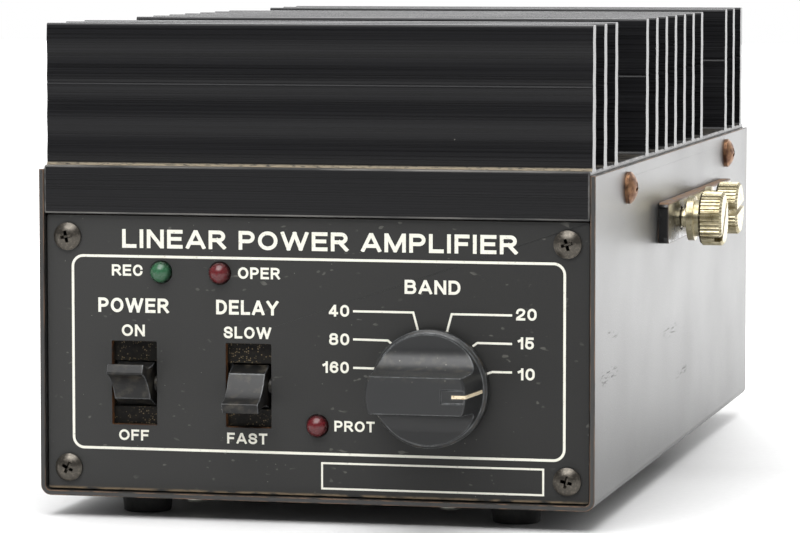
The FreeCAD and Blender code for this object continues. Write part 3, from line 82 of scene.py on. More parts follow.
# fins of the heat sink: an even grid of 17 places in groups of 3, 7 and 3, with 2 left out between
FIN = dict(Height=32.5, Root=3.9, Tip=3.3, Sink_in=0.5, Fillet=0.8, Tip_round=0.6, Ripple=0.12,
           Ripple_length=8.8, Groove_height=18.9, Groove_width=0.8, Groove_depth=0.25,
           Places=17, First_group=3, Left_out=2, Middle_group=7)
fin_end_margin = 4.8
fin_outline_step = 0.22
base_thickness = 5.0
flange_thickness = 3.2
extrusion_bevel = 0.5
screw_port_radius = 4.0
screw_port_drop = 1.1
screw_port_steps = 8

# screws with a domed head and a tapered cross recess
PANEL_SCREW = dict(Head_radius=3.2, Head_height=1.8, Rim_height=0.63, Shank_radius=1.5,
                   Recess_reach=1.55, Recess_depth=1.25)
SIDE_SCREW = dict(Head_radius=3.75, Head_height=2.5, Rim_height=0.875, Shank_radius=2.0,
                  Recess_reach=1.7, Recess_depth=1.25)
recess_taper = 0.55
recess_blade = 0.26
recess_overshoot = 0.15

# thumb screws
THUMB = dict(Knurls=40, Head_length=5.8, Knurl_depth=0.32, Rim_bevel=0.55, Neck_radius=4.5,
             Neck_length=1.5, Shank_radius=2.5, Pitch=0.8, Thread_depth=0.35, Slot_width=1.4,
             Slot_depth=2.0)
thumb_slot_angles = {"front": 50.0, "rear": 8.0}
thread_ridge_share = 0.62

# printing on the front panel; shares are of a letter's height
ink_thickness = 0.03
ink_step = 0.05
frame_line = 0.6
dial_line = 0.5
badge_line = 0.45
pen_share = 0.2
letter_gap = 0.17
word_gap = 0.32
corner_steps = 6

# small scuffs on the sides of the case: their middles and their reach
SCUFFS = ((65, -102, 34, 2.4), (65, -97, 43, 1.6), (65, -14, 36, 2), (65, 3, 24, 1.8),
          (65, 50, 60, 1.5), (-65, 40, 50, 2.4))

# broken edges
panel_edge = 0.15
case_edge = 0.22
moulding_edge = 0.22
rail_edge = 0.2

# ---- Node trees: one function adds a node, and formulas are written with the values it returns


class Value:
    """A node's output. Each step of a formula with it adds the node that works that step out."""

    def __init__(self, tree, socket):
        self.tree = tree
        self.socket = socket

    def output(self, key):
        """Another output of the same node."""
        return Value(self.tree, self.socket.node.outputs[key])

    def by(self, operation, other=0.0):
        """The value after a named operation, by itself or with another value."""
        return add(self.tree, "ShaderNodeMath", {0: self, 1: other}, operation=operation)

    def __add__(self, other):
        return self.by("ADD", other)

    def __sub__(self, other):
        return self.by("SUBTRACT", other)

    def __rsub__(self, other):
        return add(self.tree, "ShaderNodeMath", {0: other, 1: self}, operation="SUBTRACT")

    def __mul__(self, other):
        return self.by("MULTIPLY", other)

    def __truediv__(self, other):
        return self.by("DIVIDE", other)

    def __gt__(self, other):
        return self.by("GREATER_THAN", other)

    def __lt__(self, other):
        return self.by("LESS_THAN", other)


def add(tree, kind, inputs=None, out=0, **settings):
    """Adds a node with its settings and inputs, and returns the output asked for. An input is a
    constant, a value, a list of values to join, or an X, Y and Z with a value among them."""
    node = tree.nodes.new(kind)
    for name, setting in settings.items():
        setattr(node, name, setting)
    for key, given in (inputs or {}).items():
        if isinstance(given, tuple) and any(isinstance(part, Value) for part in given):
            given = add(tree, "ShaderNodeCombineXYZ", dict(enumerate(given)))
        if isinstance(given, (Value, list)):
            for value in given if isinstance(given, list) else [given]:
                tree.links.new(value.socket, node.inputs[key])
        else:
            node.inputs[key].default_value = given
    return Value(tree, node.outputs[out]) if node.outputs else None


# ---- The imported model, and meshes made from it


def box_of(node):
    """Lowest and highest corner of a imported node, in millimetres."""
    low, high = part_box(node)
    return low / MM, high / MM


def welded(node):
    """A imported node's mesh as an editable shape, its doubled corners made one."""
    shape = bmesh.new()
    shape.from_mesh(frame["nodes"][node].data)
    bmesh.ops.remove_doubles(shape, verts=shape.verts, dist=1e-6)
    return shape


def solids_of(node):
    """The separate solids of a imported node, each as its lowest and highest corner in millimetres."""
    shape = welded(node)
    left = set(shape.verts)
    solids = []
    while left:
        waiting = [left.pop()]
        low, high = Vector((1e9,) * 3), Vector((-1e9,) * 3)
        while waiting:
            corner = waiting.pop()
            low = Vector(map(min, low, corner.co / MM))
            high = Vector(map(max, high, corner.co / MM))
            for edge in corner.link_edges:
                other = edge.other_vert(corner)
                if other in left:
                    left.discard(other)
                    waiting.append(other)
        solids.append((low, high))
    shape.free()
    return sorted(solids, key=lambda s: tuple(round(v, 2) for v in s[0]))


def mesh_from(shape, name):
    """An editable shape as a mesh; the shape is let go."""
    mesh = bpy.data.meshes.new(name)
    shape.to_mesh(mesh)
    shape.free()
    return mesh


def linked(name, data):
    """A new object in the scene."""
    made = bpy.data.objects.new(name, data)
    scene.collection.objects.link(made)
    return made


def piece(name, mesh, body, slot, *nodes):
    """A finished mesh as a piece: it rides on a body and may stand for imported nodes."""
    made = linked(name, mesh)
    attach(made, body)
    if nodes:
        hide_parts(*nodes)


def evaluated_mesh(host):
    """The mesh that an object's modifiers make; the object itself is taken away."""
    graph = bpy.context.evaluated_depsgraph_get()
    mesh = bpy.data.meshes.new_from_object(host.evaluated_get(graph))
    bpy.data.objects.remove(host)
    return mesh


def smooth(mesh, angle=SHARP):
    """Shades a mesh smooth up to an angle, with its large flat faces kept flat."""
    mesh.shade_smooth()
    mesh.set_sharp_from_angle(angle=angle)
    host = linked(mesh.name, mesh)
    weighting = host.modifiers.new("flat_faces", "WEIGHTED_NORMAL")
    weighting.keep_sharp = True
    weighting.weight = 100
    return evaluated_mesh(host)


def bevelled(mesh, width, materials, clamp=True):
    """A mesh with its sharp edges broken; the last material goes on the broken edges."""
    for material in materials:
        mesh.materials.append(material)
    host = linked(mesh.name, mesh)
    bevel = host.modifiers.new("broken_edges", "BEVEL")
    bevel.width = width * MM
    bevel.segments = 2
    bevel.limit_method = "ANGLE"
    bevel.angle_limit = SHARP
    bevel.use_clamp_overlap = clamp
    bevel.material = len(materials) - 1
    return evaluated_mesh(host)


def eased(node, width, materials):
    """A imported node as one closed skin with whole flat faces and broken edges."""
    shape = welded(node)
    bmesh.ops.dissolve_limit(shape, angle_limit=math.radians(0.5), verts=shape.verts,
                             edges=shape.edges)
    mesh = mesh_from(shape, node)
    for name in ("custom_normal", "sharp_edge", "sharp_face"):
        if name in mesh.attributes:
            mesh.attributes.remove(mesh.attributes[name])
    return smooth(bevelled(mesh, width, materials, clamp=False), EASED_SHARP)


def joined(name, *meshes):
    """Several meshes as one, each face with its own material."""
    materials = []
    for mesh in meshes:
        materials += [m for m in mesh.materials if m not in materials]
    shape = bmesh.new()
    for mesh in meshes:
        before = len(shape.faces)
        shape.from_mesh(mesh)
        shape.faces.ensure_lookup_table()
        slots = [materials.index(m) for m in mesh.materials]
        for face in shape.faces[before:]:
            face.material_index = slots[min(face.material_index, len(slots) - 1)]
    whole = mesh_from(shape, name)
    for material in materials:
        whole.materials.append(material)
    return whole


# ---- Patterns, all on object coordinates


def linear(code):
    """An sRGB hex colour as linear red, green, blue and alpha."""
    parts = [int(code[i:i + 2], 16) / 255 for i in (0, 2, 4)]
    return (*(p / 12.92 if p <= 0.04045 else ((p + 0.055) / 1.055) ** 2.4 for p in parts), 1.0)


def levels(mask, at_zero, at_one):
    """A value that runs from at_zero to at_one as the mask does from 0 to 1."""
    return add(mask.tree, "ShaderNodeMapRange", {0: mask, 3: at_zero, 4: at_one})


def blotches(tree, size, low=0.4, high=0.6, stretch=(1, 1, 1), detail=2.0, shift=0.0):
    """A mask from 0 to 1: noise with marks size mm across, 0 under the level low, 1 over high."""
    scale = tuple(1 / (size * s * MM) for s in stretch)
    place = add(tree, "ShaderNodeTexCoord", out="Object")
    place = add(tree, "ShaderNodeMapping", {0: place, "Location": (shift,) * 3, "Scale": scale})
    noise = add(tree, "ShaderNodeTexNoise", {"Vector": place, "Scale": 1.0, "Detail": detail})
    return add(tree, "ShaderNodeMapRange", {0: noise, 1: low, 2: high})


def specks(tree, spacing, radius, share, shift=0.0):
    """A mask of scattered dots: cells spacing mm apart, the given share of them with a dot."""
    scale = (1 / (spacing * MM),) * 3
    place = add(tree, "ShaderNodeTexCoord", out="Object")
    place = add(tree, "ShaderNodeMapping", {0: place, "Location": (shift,) * 3, "Scale": scale})
    cell = add(tree, "ShaderNodeTexVoronoi", {"Vector": place, "Scale": 1.0}, out="Distance")
    pick = add(tree, "ShaderNodeSeparateColor", {0: cell.output("Color")})
    return (cell < radius / spacing) * (pick < share)


def between(tree, axis, low, high, fade):
    """A mask that is 1 where the object's X, Y or Z in mm lies from low to high, with soft ends."""
    place = add(tree, "ShaderNodeTexCoord", out="Object")
    value = add(tree, "ShaderNodeSeparateXYZ", {0: place}, out="XYZ".index(axis))
    rise = add(tree, "ShaderNodeMapRange", {0: value, 1: (low - fade) * MM, 2: low * MM})
    fall = add(tree, "ShaderNodeMapRange",
               {0: value, 1: high * MM, 2: (high + fade) * MM, 3: 1.0, 4: 0.0})
    return rise * fall


def around(tree, *places):
    """A mask of soft patches, each given by its middle and its reach in mm. A patch is six times as
    long along Y as it is high."""
    patches = 0.0
    for x, y, z, reach in places:
        away = add(tree, "ShaderNodeTexCoord", out="Object")
        for operation, other in (("SUBTRACT", (x * MM, y * MM, z * MM)),
                                 ("MULTIPLY", (1, 1 / 6, 1))):
            away = add(tree, "ShaderNodeVectorMath", {0: away, 1: other}, operation=operation)
        away = add(tree, "ShaderNodeVectorMath", {0: away}, out=1, operation="LENGTH")
        patch = add(tree, "ShaderNodeMapRange",
                    {0: away, 1: reach / 2 * MM, 2: reach * MM, 3: 1.0, 4: 0.0})
        patches = patch.by("MAXIMUM", patches)
    return patches


def tinted(mask, under, over):
    """Colour over laid on colour under where the mask is 1; both may be hex codes."""
    under, over = (linear(c) if isinstance(c, str) else c for c in (under, over))
    return add(mask.tree, "ShaderNodeMix", {0: mask, 6: under, 7: over}, out=2, data_type="RGBA")


def relief(mask, height):
    """A bump height mm tall where the mask is 1."""
    return add(mask.tree, "ShaderNodeBump",
               {"Strength": 1.0, "Distance": height * MM, "Height": mask})


# ---- Materials


def new_material(name, **constants):
    """A new material's tree, with constants on the shader's own sockets, and the function that
    links its patterns and returns it."""
    material = bpy.data.materials.new(name)
    material.use_nodes = True
    tree = material.node_tree
    shader = tree.nodes["Principled BSDF"]
    for socket, value in constants.items():
        shader.inputs[socket.replace("_", " ")].default_value = value

    def finish(colour, roughness=None, normal=None, glow=None):
        for socket, pattern in (("Base Color", colour), ("Roughness", roughness),
                                ("Normal", normal), ("Emission Strength", glow)):
            if pattern is not None:
                tree.links.new(pattern.socket, shader.inputs[socket])
        return material

    return tree, finish


def two_tone(name, under, over, noise, rough=None, **constants):
    """A finish with one pattern: it runs between two colours, and between two roughnesses."""
    tree, finish = new_material(name, **constants)
    mask = blotches(tree, *noise)
    return finish(tinted(mask, under, over), levels(mask, *rough) if rough else None)


def satin_case_enamel():
    """Baked black enamel sprayed on sheet steel: satin with a fine orange peel, so that its sides
    shine pale at a glancing look and its face stays black. A few small scuffs are matt."""
    tree, finish = new_material("satin_case_enamel", IOR=1.56)
    peel = blotches(tree, 0.5, 0.3, 0.7, detail=3.0)
    cloud = blotches(tree, 30, 0.35, 0.7)
    scuffs = blotches(tree, 0.45, 0.55, 0.62, (1, 12, 1), 3.0) * around(tree, *SCUFFS)
    marks = levels(scuffs, 0.0, 0.5).by("MAXIMUM", specks(tree, 7.0, 0.25, 0.12))
    colour = tinted(marks, tinted(cloud, "2d2d2c", "323130"), "0d0c0b")
    rough = add(tree, "ShaderNodeMix", {0: marks, 2: levels(cloud, 0.3, 0.34), 3: 0.8})
    return finish(colour, rough, relief(peel, 0.02))


def worn_enamel_edge():
    """The same enamel rubbed through along a folded edge: brown primer and rust show."""
    return two_tone("worn_enamel_edge", "26231f", "6b5340", (3.0, 0.38, 0.6, (1, 4, 4), 4.0),
                    Roughness=0.55)


def black_anodised_extrusion():
    """Extruded aluminium anodised black: die lines along its length, a dull gloss, fin tips painted a
    lighter grey as a painted highlight, and dust where the fins stand on the base, thickest on the
    front ledge."""
    tree, finish = new_material("black_anodised_extrusion", IOR=1.3)
    low, high = box_of("heat_sink")
    top_of_base = high.z - FIN["Height"]
    first_fin = low.y + fin_end_margin - FIN["Root"] / 2
    fine = blotches(tree, 0.3, 0.3, 0.7, (900, 1, 1), 3.0)
    foot = between(tree, "Z", top_of_base - 0.15, top_of_base + 0.3, 0.35)
    ragged = levels(blotches(tree, 2.5, 0.45, 0.8, (3, 1, 1), 6.0, 9.0), 0.0, 0.4)
    ledge = (between(tree, "Y", low.y - 1, first_fin, 0.5)
             * blotches(tree, 0.5, 0.3, 0.5, (3, 1, 1), 6.0, 9.0))
    dust = foot * ledge.by("MAXIMUM", ragged)
    colour = tinted(dust, tinted(fine, "0d0d0e", "1b1b1d"), "8d8371")
    # The top 0.12 mm of the fins is painted lighter grey: a painted highlight along the fin tips.
    colour = tinted(between(tree, "Z", high.z - 0.12, high.z, 0.1), colour, "565657")
    colour = tinted(specks(tree, 4.5, 0.14, 0.16), colour, "75736d")
    rough = add(tree, "ShaderNodeMix", {0: dust, 2: levels(fine, 0.24, 0.32), 3: 0.9})
    return finish(colour, rough, relief(fine, 0.008))


def sawn_black_anodising():
    """Where a saw cut the extrusion before it was anodised: a dark grey lighter than the anodised
    faces, with fine upright saw lines painted paler still, a painted sheen for the pale shine these
    ends have at a glancing look."""
    # Both greys are lighter than the anodised faces: a painted sheen on the sawn fin ends.
    return two_tone("sawn_black_anodising", "373738", "424243",
                    (0.22, 0.3, 0.7, (1, 1, 12), 2.0), (0.28, 0.38), IOR=1.7)


def rubbed_anodising():
    """The arris of the extrusion, painted a lighter grey with a half-metal gloss: a painted highlight
    along its broken edges.
    """
    return two_tone("rubbed_anodising", "3a3a3a", "72706d", (4, 0.4, 0.7, (5, 1, 1), 5.0),
                    (0.45, 0.35), Metallic=0.5)


def panel_enamel():
    """Matt black enamel on the panels: even and fine in grain, with dust specks and hairline
    scratches, and painted light that runs lighter at the left end and darker at the right.
    """
    tree, finish = new_material("panel_enamel", IOR=1.45)
    fine = blotches(tree, 0.3, 0.3, 0.7, detail=3.0)
    low, high = box_of("front_panel")
    # Painted light: the enamel runs from 2d2d2c at the left end to 1e1e1d at the right, a gradient of
    # light across the panel.
    place = add(tree, "ShaderNodeTexCoord", out="Object")
    across = add(tree, "ShaderNodeSeparateXYZ", {0: place})
    fade = add(tree, "ShaderNodeMapRange", {0: across, 1: high.x * MM, 2: low.x * MM})
    colour = tinted(fade, "1e1e1d", "2d2d2c")
    hair = (blotches(tree, 0.3, 0.66, 0.7, (9, 1, 5), 1.0)
            * blotches(tree, 9, 0.52, 0.6, shift=4.0))
    sill = (between(tree, "Z", low.z - 1, low.z + 0.3, 0.4)
            * blotches(tree, 1.3, 0.4, 0.56, (3, 1, 1), 5.0))
    rust = (between(tree, "Y", low.y + 0.2, high.y - 0.3, 0.15)
            * blotches(tree, 2.0, 0.3, 0.5, detail=4.0, shift=7.0))
    for mask, over in ((levels(hair, 0.0, 0.5), "6a6963"), (sill, "756550"), (rust, "6b4526"),
                       (specks(tree, 2.2, 0.1, 0.3, 2.2), "6f6d66"),
                       (specks(tree, 6.5, 0.2, 0.16, 6.5), "7b7970")):
        colour = tinted(mask, colour, over)
    return finish(colour, levels(fine, 0.5, 0.62), relief(fine, 0.008))


def dusty_bracket_enamel():
    """The same black enamel deep in the switch openings, painted darker than on the panel as painted
    shade of the openings, with tan dust settled on it.
    """
    tree, finish = new_material("dusty_bracket_enamel", Roughness=0.6, IOR=1.3)
    dust = specks(tree, 0.45, 0.16, 0.5) * blotches(tree, 2.4, 0.4, 0.6, detail=3.0)
    # The film greys are darker than the panel's enamel: painted shade deep in the switch openings.
    film = tinted(blotches(tree, 1.2, 0.45, 0.75, detail=5.0), "0d0b08", "1e1a13")
    return finish(tinted(dust, film, "6e6149"))


def rail_enamel():
    """Gloss black enamel on the mounting rails, with tan rust and dust along their top edges."""
    tree, finish = new_material("rail_enamel", IOR=1.5)
    top = box_of("right_mount_rail")[1].z
    rust = (between(tree, "Z", top - 0.25, top + 1, 0.3)
            * blotches(tree, 1.5, 0.3, 0.5, (1, 3, 1), 5.0))
    haze = levels(blotches(tree, 3.0, 0.35, 0.7, detail=4.0), 0.18, 0.3)
    rough = add(tree, "ShaderNodeMix", {0: rust, 2: haze, 3: 0.8})
    return finish(tinted(rust, "0d0d0e", "8c7059"), rough)


def rubbed_moulding():
    """The edges of a black moulding, painted a lighter grey: a painted highlight that draws a fine
    light line along them.
    """
    return two_tone("rubbed_moulding", "303132", "5c5e5f", (2.0, 0.35, 0.65, (1, 1, 1), 3.0),
                    (0.3, 0.22), IOR=1.5)


def screen_ink():
    """Off-white screen-printing ink, matt, worn a little thin in places."""
    return two_tone("screen_ink", "e8e6da", "b5b4aa", (0.7, 0.6, 0.75, (1, 1, 1), 4.0),
                    Roughness=0.6)


def plated_steel(name, bright, dull, roughness):
    """Electroplated steel: a thin bright metal coat with faint clouding."""
    return two_tone(name, bright, dull, (1.8, 0.35, 0.7, (1, 1, 1), 4.0),
                    (roughness, roughness + 0.14), Metallic=1.0)


def blackened_steel():
    """Chemically blackened steel, oiled: dark and smooth, a little grey where it is rubbed."""
    return two_tone("blackened_steel", "524e48", "716b62", (0.5, 0.5, 0.75, (1, 1, 1), 3.0),
                    (0.3, 0.38), Metallic=0.85)


def copper_plate():
    """Copper-coloured plating on the side screws, tarnished brown where hands don't reach."""
    return two_tone("copper_plate", "8f6c50", "634636", (1.4, 0.4, 0.66, (1, 1, 1), 3.0),
                    (0.38, 0.5), Metallic=0.85)


def thumb_screw_nickel():
    """Nickel plate over brass, clouded warm by wear, with fine turning marks."""
    tree, finish = new_material("thumb_screw_nickel", Metallic=1.0)
    cloud = blotches(tree, 1.6, 0.4, 0.7, detail=4.0)
    turned = blotches(tree, 0.16, 0.3, 0.7, (1, 9, 9))
    return finish(tinted(cloud, "c8bfa2", "9c9172"), levels(turned, 0.26, 0.38))


def moulded_plastic(name, colour, roughness, dusty):
    """Moulded plastic: smooth with a faint grain, and dust that has settled on it."""
    tree, finish = new_material(name, IOR=1.42)
    grain = blotches(tree, 0.4, 0.3, 0.7, detail=3.0)
    film = blotches(tree, 2.2, 0.5, 0.75, detail=5.0) * levels(grain, 0.4, 1.0)
    film = levels(film, 0.0, dusty)
    return finish(tinted(film, colour, "8a8170"), levels(film, roughness, roughness + 0.3),
                  relief(grain, 0.006))


def knob_phenolic():
    """Black phenolic moulding, buffed: semi-gloss, with pale dust in the scoop above the bar."""
    tree, finish = new_material("knob_phenolic", IOR=1.55)
    low, high = box_of("band_knob")
    middle = (low.z + high.z) / 2
    grain = blotches(tree, 0.35, 0.3, 0.7, detail=3.0)
    above = between(tree, "Z", middle + 4.2, middle + 7.5, 1.5)
    film = above * blotches(tree, 1.5, 0.5, 0.8, detail=5.0)
    dust = above * specks(tree, 1.1, 0.17, 0.3)
    skirt = (between(tree, "Y", high.y - 2.4, high.y - 1.6, 0.6)
             * blotches(tree, 2.5, 0.5, 0.65, shift=6.0))
    colour = "1d1e1f"
    for mask, share, over in ((film, 0.3, "6f6a5c"), (dust, 0.7, "8d897d"), (skirt, 0.4, "5c4d3a")):
        colour = tinted(levels(mask, 0.0, share), colour, over)
    return finish(colour, levels(grain, 0.4, 0.48), relief(grain, 0.003))


def pointer_paint():
    """Cream paint wiped into the knob's pointer groove, yellowed and chipped."""
    return two_tone("pointer_paint", "eadabb", "b49a72", (0.6, 0.55, 0.7, (1, 1, 1), 4.0),
                    Roughness=0.5)


def lamp_lens(name, core, rim):
    """Tinted diffusing epoxy, its colour painted darker towards the foot of the lens: painted shade
    from the panel hole around it.
    """
    tree, finish = new_material(name, IOR=1.55, Subsurface_Weight=0.25,
                                Subsurface_Radius=(0.6 * MM, 0.6 * MM, 0.6 * MM))
    low, high = box_of("green_led")
    # The rim colour towards the foot of the lens is painted shade from the panel hole.
    foot = between(tree, "Y", low.y + 1.9, high.y, 1.2)
    haze = blotches(tree, 0.9, 0.35, 0.7, detail=4.0)
    return finish(tinted(foot, core, rim), levels(haze, 0.2, 0.34))


def moulded_rubber():
    """Black moulded rubber for the feet, matt and slightly grey with age."""
    return two_tone("black_rubber", "191919", "2a2927", (1.5, 0.4, 0.7, (1, 1, 1), 4.0),
                    Roughness=0.8)


def board_laminate():
    """Glass-epoxy board: green mask, with the weave just showing through."""
    tree, finish = new_material("board_laminate", Roughness=0.35)
    weave = tinted(blotches(tree, 0.5, 0.3, 0.7, (3, 1, 1)), "2b5536", "33603f")
    tracks = (blotches(tree, 4.0, 0.5, 0.52, detail=0.0)
              * blotches(tree, 9.0, 0.45, 0.5, detail=0.0, shift=3.0))
    return finish(tinted(tracks, weave, "487a4e"))


def plain_part(name, colour, other, roughness, metallic=0.0):
    """A small inner part in one material, with the mottling that its surface has."""
    return two_tone(name, colour, other, (2.0, 0.35, 0.7, (1, 1, 1), 4.0),
                    (roughness, roughness + 0.12), Metallic=metallic)


# inner parts in one material: two colours, roughness and, for a metal, metallic
PLAIN_PARTS = {
    "tinned_brass": ("c9c5b6", "a8a28c", 0.35, 1.0),
    "zinc_die_casting": ("a5a6a6", "8b8c8d", 0.45, 1.0),
    "paper_phenolic": ("7a4f2c", "67401f", 0.5),
    "ceramic_and_gold": ("e2ddd0", "c9a85c", 0.4),
    "ferrite": ("3a3937", "4a4845", 0.7),
    "dipped_mica": ("7d3322", "8f4029", 0.35),
    "capacitor_sleeve": ("27436e", "1f3558", 0.35),
}


def all_finishes():
    """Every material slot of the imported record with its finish."""
    return {
        "satin_case_paint": satin_case_enamel(),
        "black_anodised_aluminium": black_anodised_extrusion(),
        "black_panel_paint": panel_enamel(),
        "zinc_plated_steel": plated_steel("zinc_plated_steel", "c3c2bb", "aeaca3", 0.3),
        "blackened_steel": blackened_steel(),
        "copper_plated_steel": copper_plate(),
        "black_rubber": moulded_rubber(),
        "switch_plastic": moulded_plastic("switch_plastic", "131313", 0.38, 0.25),
        "knob_phenolic": knob_phenolic(),
        "pointer_paint": pointer_paint(),
        "nickel_plated_brass": plated_steel("nickel_plated_brass", "d3cfc2", "c3bfae", 0.24),
        "moulded_nylon": moulded_plastic("moulded_nylon", "2f2f2f", 0.45, 0.2),
        "glass_epoxy_board": board_laminate(),
        "green_lens": lamp_lens("green_lens", "2b5a3d", "102b1c"),
        "red_lens": lamp_lens("red_lens", "5c181d", "2b0a0d"),
        "nickel_plated_steel": thumb_screw_nickel(),
        **{name: plain_part(name, *row) for name, row in PLAIN_PARTS.items()},
    }


# ---- Node trees for what repeats


def as_input(label, size):
    """A size as a tree takes it: a length in metres, a count or a turn as it is."""
    return size if isinstance(size, int) or label.endswith("turn") else size * MM


def new_tree(name, **sizes):
    """An empty geometry tree with a named input for each size, and the values they give."""
    tree = bpy.data.node_groups.new(name, "GeometryNodeTree")
    tree.interface.new_socket("Geometry", in_out="OUTPUT", socket_type="NodeSocketGeometry")
    for label, size in sizes.items():
        kind = "NodeSocketInt" if isinstance(size, int) else "NodeSocketFloat"
        socket = tree.interface.new_socket(label.replace("_", " "), in_out="INPUT",
                                           socket_type=kind)
        socket.default_value = as_input(label, size)
    given = tree.nodes.new("NodeGroupInput").outputs
    return tree, SimpleNamespace(**{label: Value(tree, given[label.replace("_", " ")])
                                    for label in sizes})


def end_tree(tree, geometry, material, face_material=None, faces=None):
    """Closes a tree: instances made real, then the material, and a second one on chosen faces."""
    real = add(tree, "GeometryNodeRealizeInstances", {0: geometry})
    dressed = add(tree, "GeometryNodeSetMaterial", {0: real, "Material": material})
    if face_material:
        dressed = add(tree, "GeometryNodeSetMaterial",
                      {0: dressed, "Selection": faces, "Material": face_material})
    add(tree, "NodeGroupOutput", {0: dressed})
    return tree


def grown(tree, **sizes):
    """The plain mesh that a tree makes with these sizes."""
    host = linked(tree.name, bpy.data.meshes.new(tree.name))
    maker = host.modifiers.new("maker", "NODES")
    maker.node_group = tree
    for item in tree.interface.items_tree:
        label = item.name.replace(" ", "_")
        if label in sizes:
            maker[item.identifier] = as_input(label, sizes[label])
    return evaluated_mesh(host)


def fin_tree(anodised, sawn):
    """Fins across the case, each swept from a rippled, tapered outline with a groove and a root
    fillet, on an even grid with places left out. The swept outline's X becomes the model's Y."""
    tree, size = new_tree("fin_rows", Length=100.0, Pitch=14.0, **FIN)
    blank = add(tree, "GeometryNodeCurvePrimitiveQuadrilateral",
                {"Width": size.Root, "Height": size.Height + size.Sink_in})
    blank = add(tree, "GeometryNodeFilletCurve", {0: blank, "Radius": size.Tip_round,
                                                  "Count": 4}, mode="POLY")
    half_tall = (size.Height - size.Sink_in) * -0.5
    blank = add(tree, "GeometryNodeTransform", {0: blank, "Translation": (0, half_tall, 0)})
    blank = add(tree, "GeometryNodeResampleCurve", {0: blank, "Length": fin_outline_step * MM},
                mode="LENGTH")
    x = add(tree, "ShaderNodeSeparateXYZ", {0: add(tree, "GeometryNodeInputPosition")})
    up = x.output(1) * -1.0
    side = x.by("SIGN")
    share = (up / size.Height).by("MAXIMUM")
    tapered = x * ((1.0 - size.Tip / size.Root) * share * -1.0)
    wave = (up / size.Ripple_length * (2 * math.pi)).by("SINE") * size.Ripple
    off_groove = (up - size.Groove_height).by("ABSOLUTE")
    inside = (1.0 - off_groove / (size.Groove_width * 0.5)).by("MAXIMUM")
    groove = inside * size.Groove_depth * (side * -1.0)
    below = (size.Fillet - up).by("MAXIMUM").by("MINIMUM", size.Fillet)
    flare = (size.Fillet - (size.Fillet * size.Fillet - below * below).by("SQRT")) * side
    shift = (tapered + wave) + (groove + flare)
    outline = add(tree, "GeometryNodeSetPosition", {0: blank, "Offset": (shift, 0, 0)})
    half = size.Length * 0.5
    line = add(tree, "GeometryNodeCurvePrimitiveLine",
               {"Start": (half * -1.0, 0, 0), "End": (half, 0, 0)})
    fin = add(tree, "GeometryNodeCurveToMesh", {0: line, 1: outline, "Fill Caps": True})
    start = size.Pitch * (size.Places - 1.0) * -0.5
    places = add(tree, "GeometryNodeMeshLine",
                 {"Count": size.Places, "Start Location": (0, start, 0),
                  "Offset": (0, size.Pitch, 0)})
    index = add(tree, "GeometryNodeInputIndex")
    second = size.First_group + size.Left_out + size.Middle_group
    gaps = [(index > gap - 0.5) * (index < gap + size.Left_out - 0.5)
            for gap in (size.First_group, second)]
    kept = add(tree, "GeometryNodeDeleteGeometry", {0: places, 1: gaps[0] + gaps[1]},
               domain="POINT")
    fins = add(tree, "GeometryNodeInstanceOnPoints", {"Points": kept, "Instance": fin})
    facing = add(tree, "ShaderNodeSeparateXYZ", {0: add(tree, "GeometryNodeInputNormal")})
    return end_tree(tree, fins, anodised, sawn, facing.by("ABSOLUTE") > 0.9)


def screw_tree(name, material):
    """Domed screws with a tapered cross recess, on a grid of places, each turned at random."""
    tree, size = new_tree(name, Shank_length=6.0, Across=0.0, Along=0.0, Columns=2, Rows=2,
                          Seed=1, **PANEL_SCREW)
    head = add(tree, "GeometryNodeMeshCylinder",
               {"Vertices": 40, "Side Segments": 1, "Fill Segments": 8,
                "Radius": size.Head_radius, "Depth": 2 * MM}, out="Mesh")
    x = add(tree, "ShaderNodeSeparateXYZ", {0: add(tree, "GeometryNodeInputPosition")})
    y, z = x.output(1), x.output(2)
    cap = size.Head_height - size.Rim_height
    sphere = (size.Head_radius * size.Head_radius + cap * cap) / (cap * 2.0)
    reach = (sphere * sphere - (x * x + y * y)).by("SQRT")
    dome = size.Head_height - sphere + reach
    head = add(tree, "GeometryNodeSetPosition", {0: head, "Position": (x, y, dome * (z > 0.0))})
    blade = add(tree, "GeometryNodeMeshCone",
                {"Vertices": 4, "Radius Top": 1.0, "Radius Bottom": recess_taper, "Depth": 1.0},
                out="Mesh")
    blade = add(tree, "GeometryNodeTransform",
                {0: blade, "Rotation": (0, 0, math.pi / 4), "Translation": (0, 0, -1.0)})
    wide = size.Recess_reach * math.sqrt(2)
    scale = (wide, wide * recess_blade, size.Recess_depth * (1 + recess_overshoot))
    lift = size.Head_height + size.Recess_depth * recess_overshoot
    for turn in (0.0, math.pi / 2):
        cut = add(tree, "GeometryNodeTransform",
                  {0: blade, "Scale": scale, "Rotation": (0, 0, turn),
                   "Translation": (0, 0, lift)})
        head = add(tree, "GeometryNodeMeshBoolean", {0: head, 1: cut}, operation="DIFFERENCE")
    shank = add(tree, "GeometryNodeMeshCylinder",
                {"Vertices": 24, "Radius": size.Shank_radius, "Depth": size.Shank_length},
                out="Mesh")
    shank = add(tree, "GeometryNodeTransform",
                {0: shank, "Translation": (0, 0, size.Shank_length * -0.5)})
    screw = add(tree, "GeometryNodeJoinGeometry", {0: [head, shank]})
    grid = add(tree, "GeometryNodeMeshGrid",
               {"Size X": size.Across, "Size Y": size.Along, "Vertices X": size.Columns,
                "Vertices Y": size.Rows}, out="Mesh")
    turn = add(tree, "FunctionNodeRandomValue", {"Max": math.pi / 2, "Seed": size.Seed}, out=1,
               data_type="FLOAT")
    screws = add(tree, "GeometryNodeInstanceOnPoints",
                 {"Points": grid, "Instance": screw, "Rotation": (0, 0, turn)})
    return end_tree(tree, screws, material)


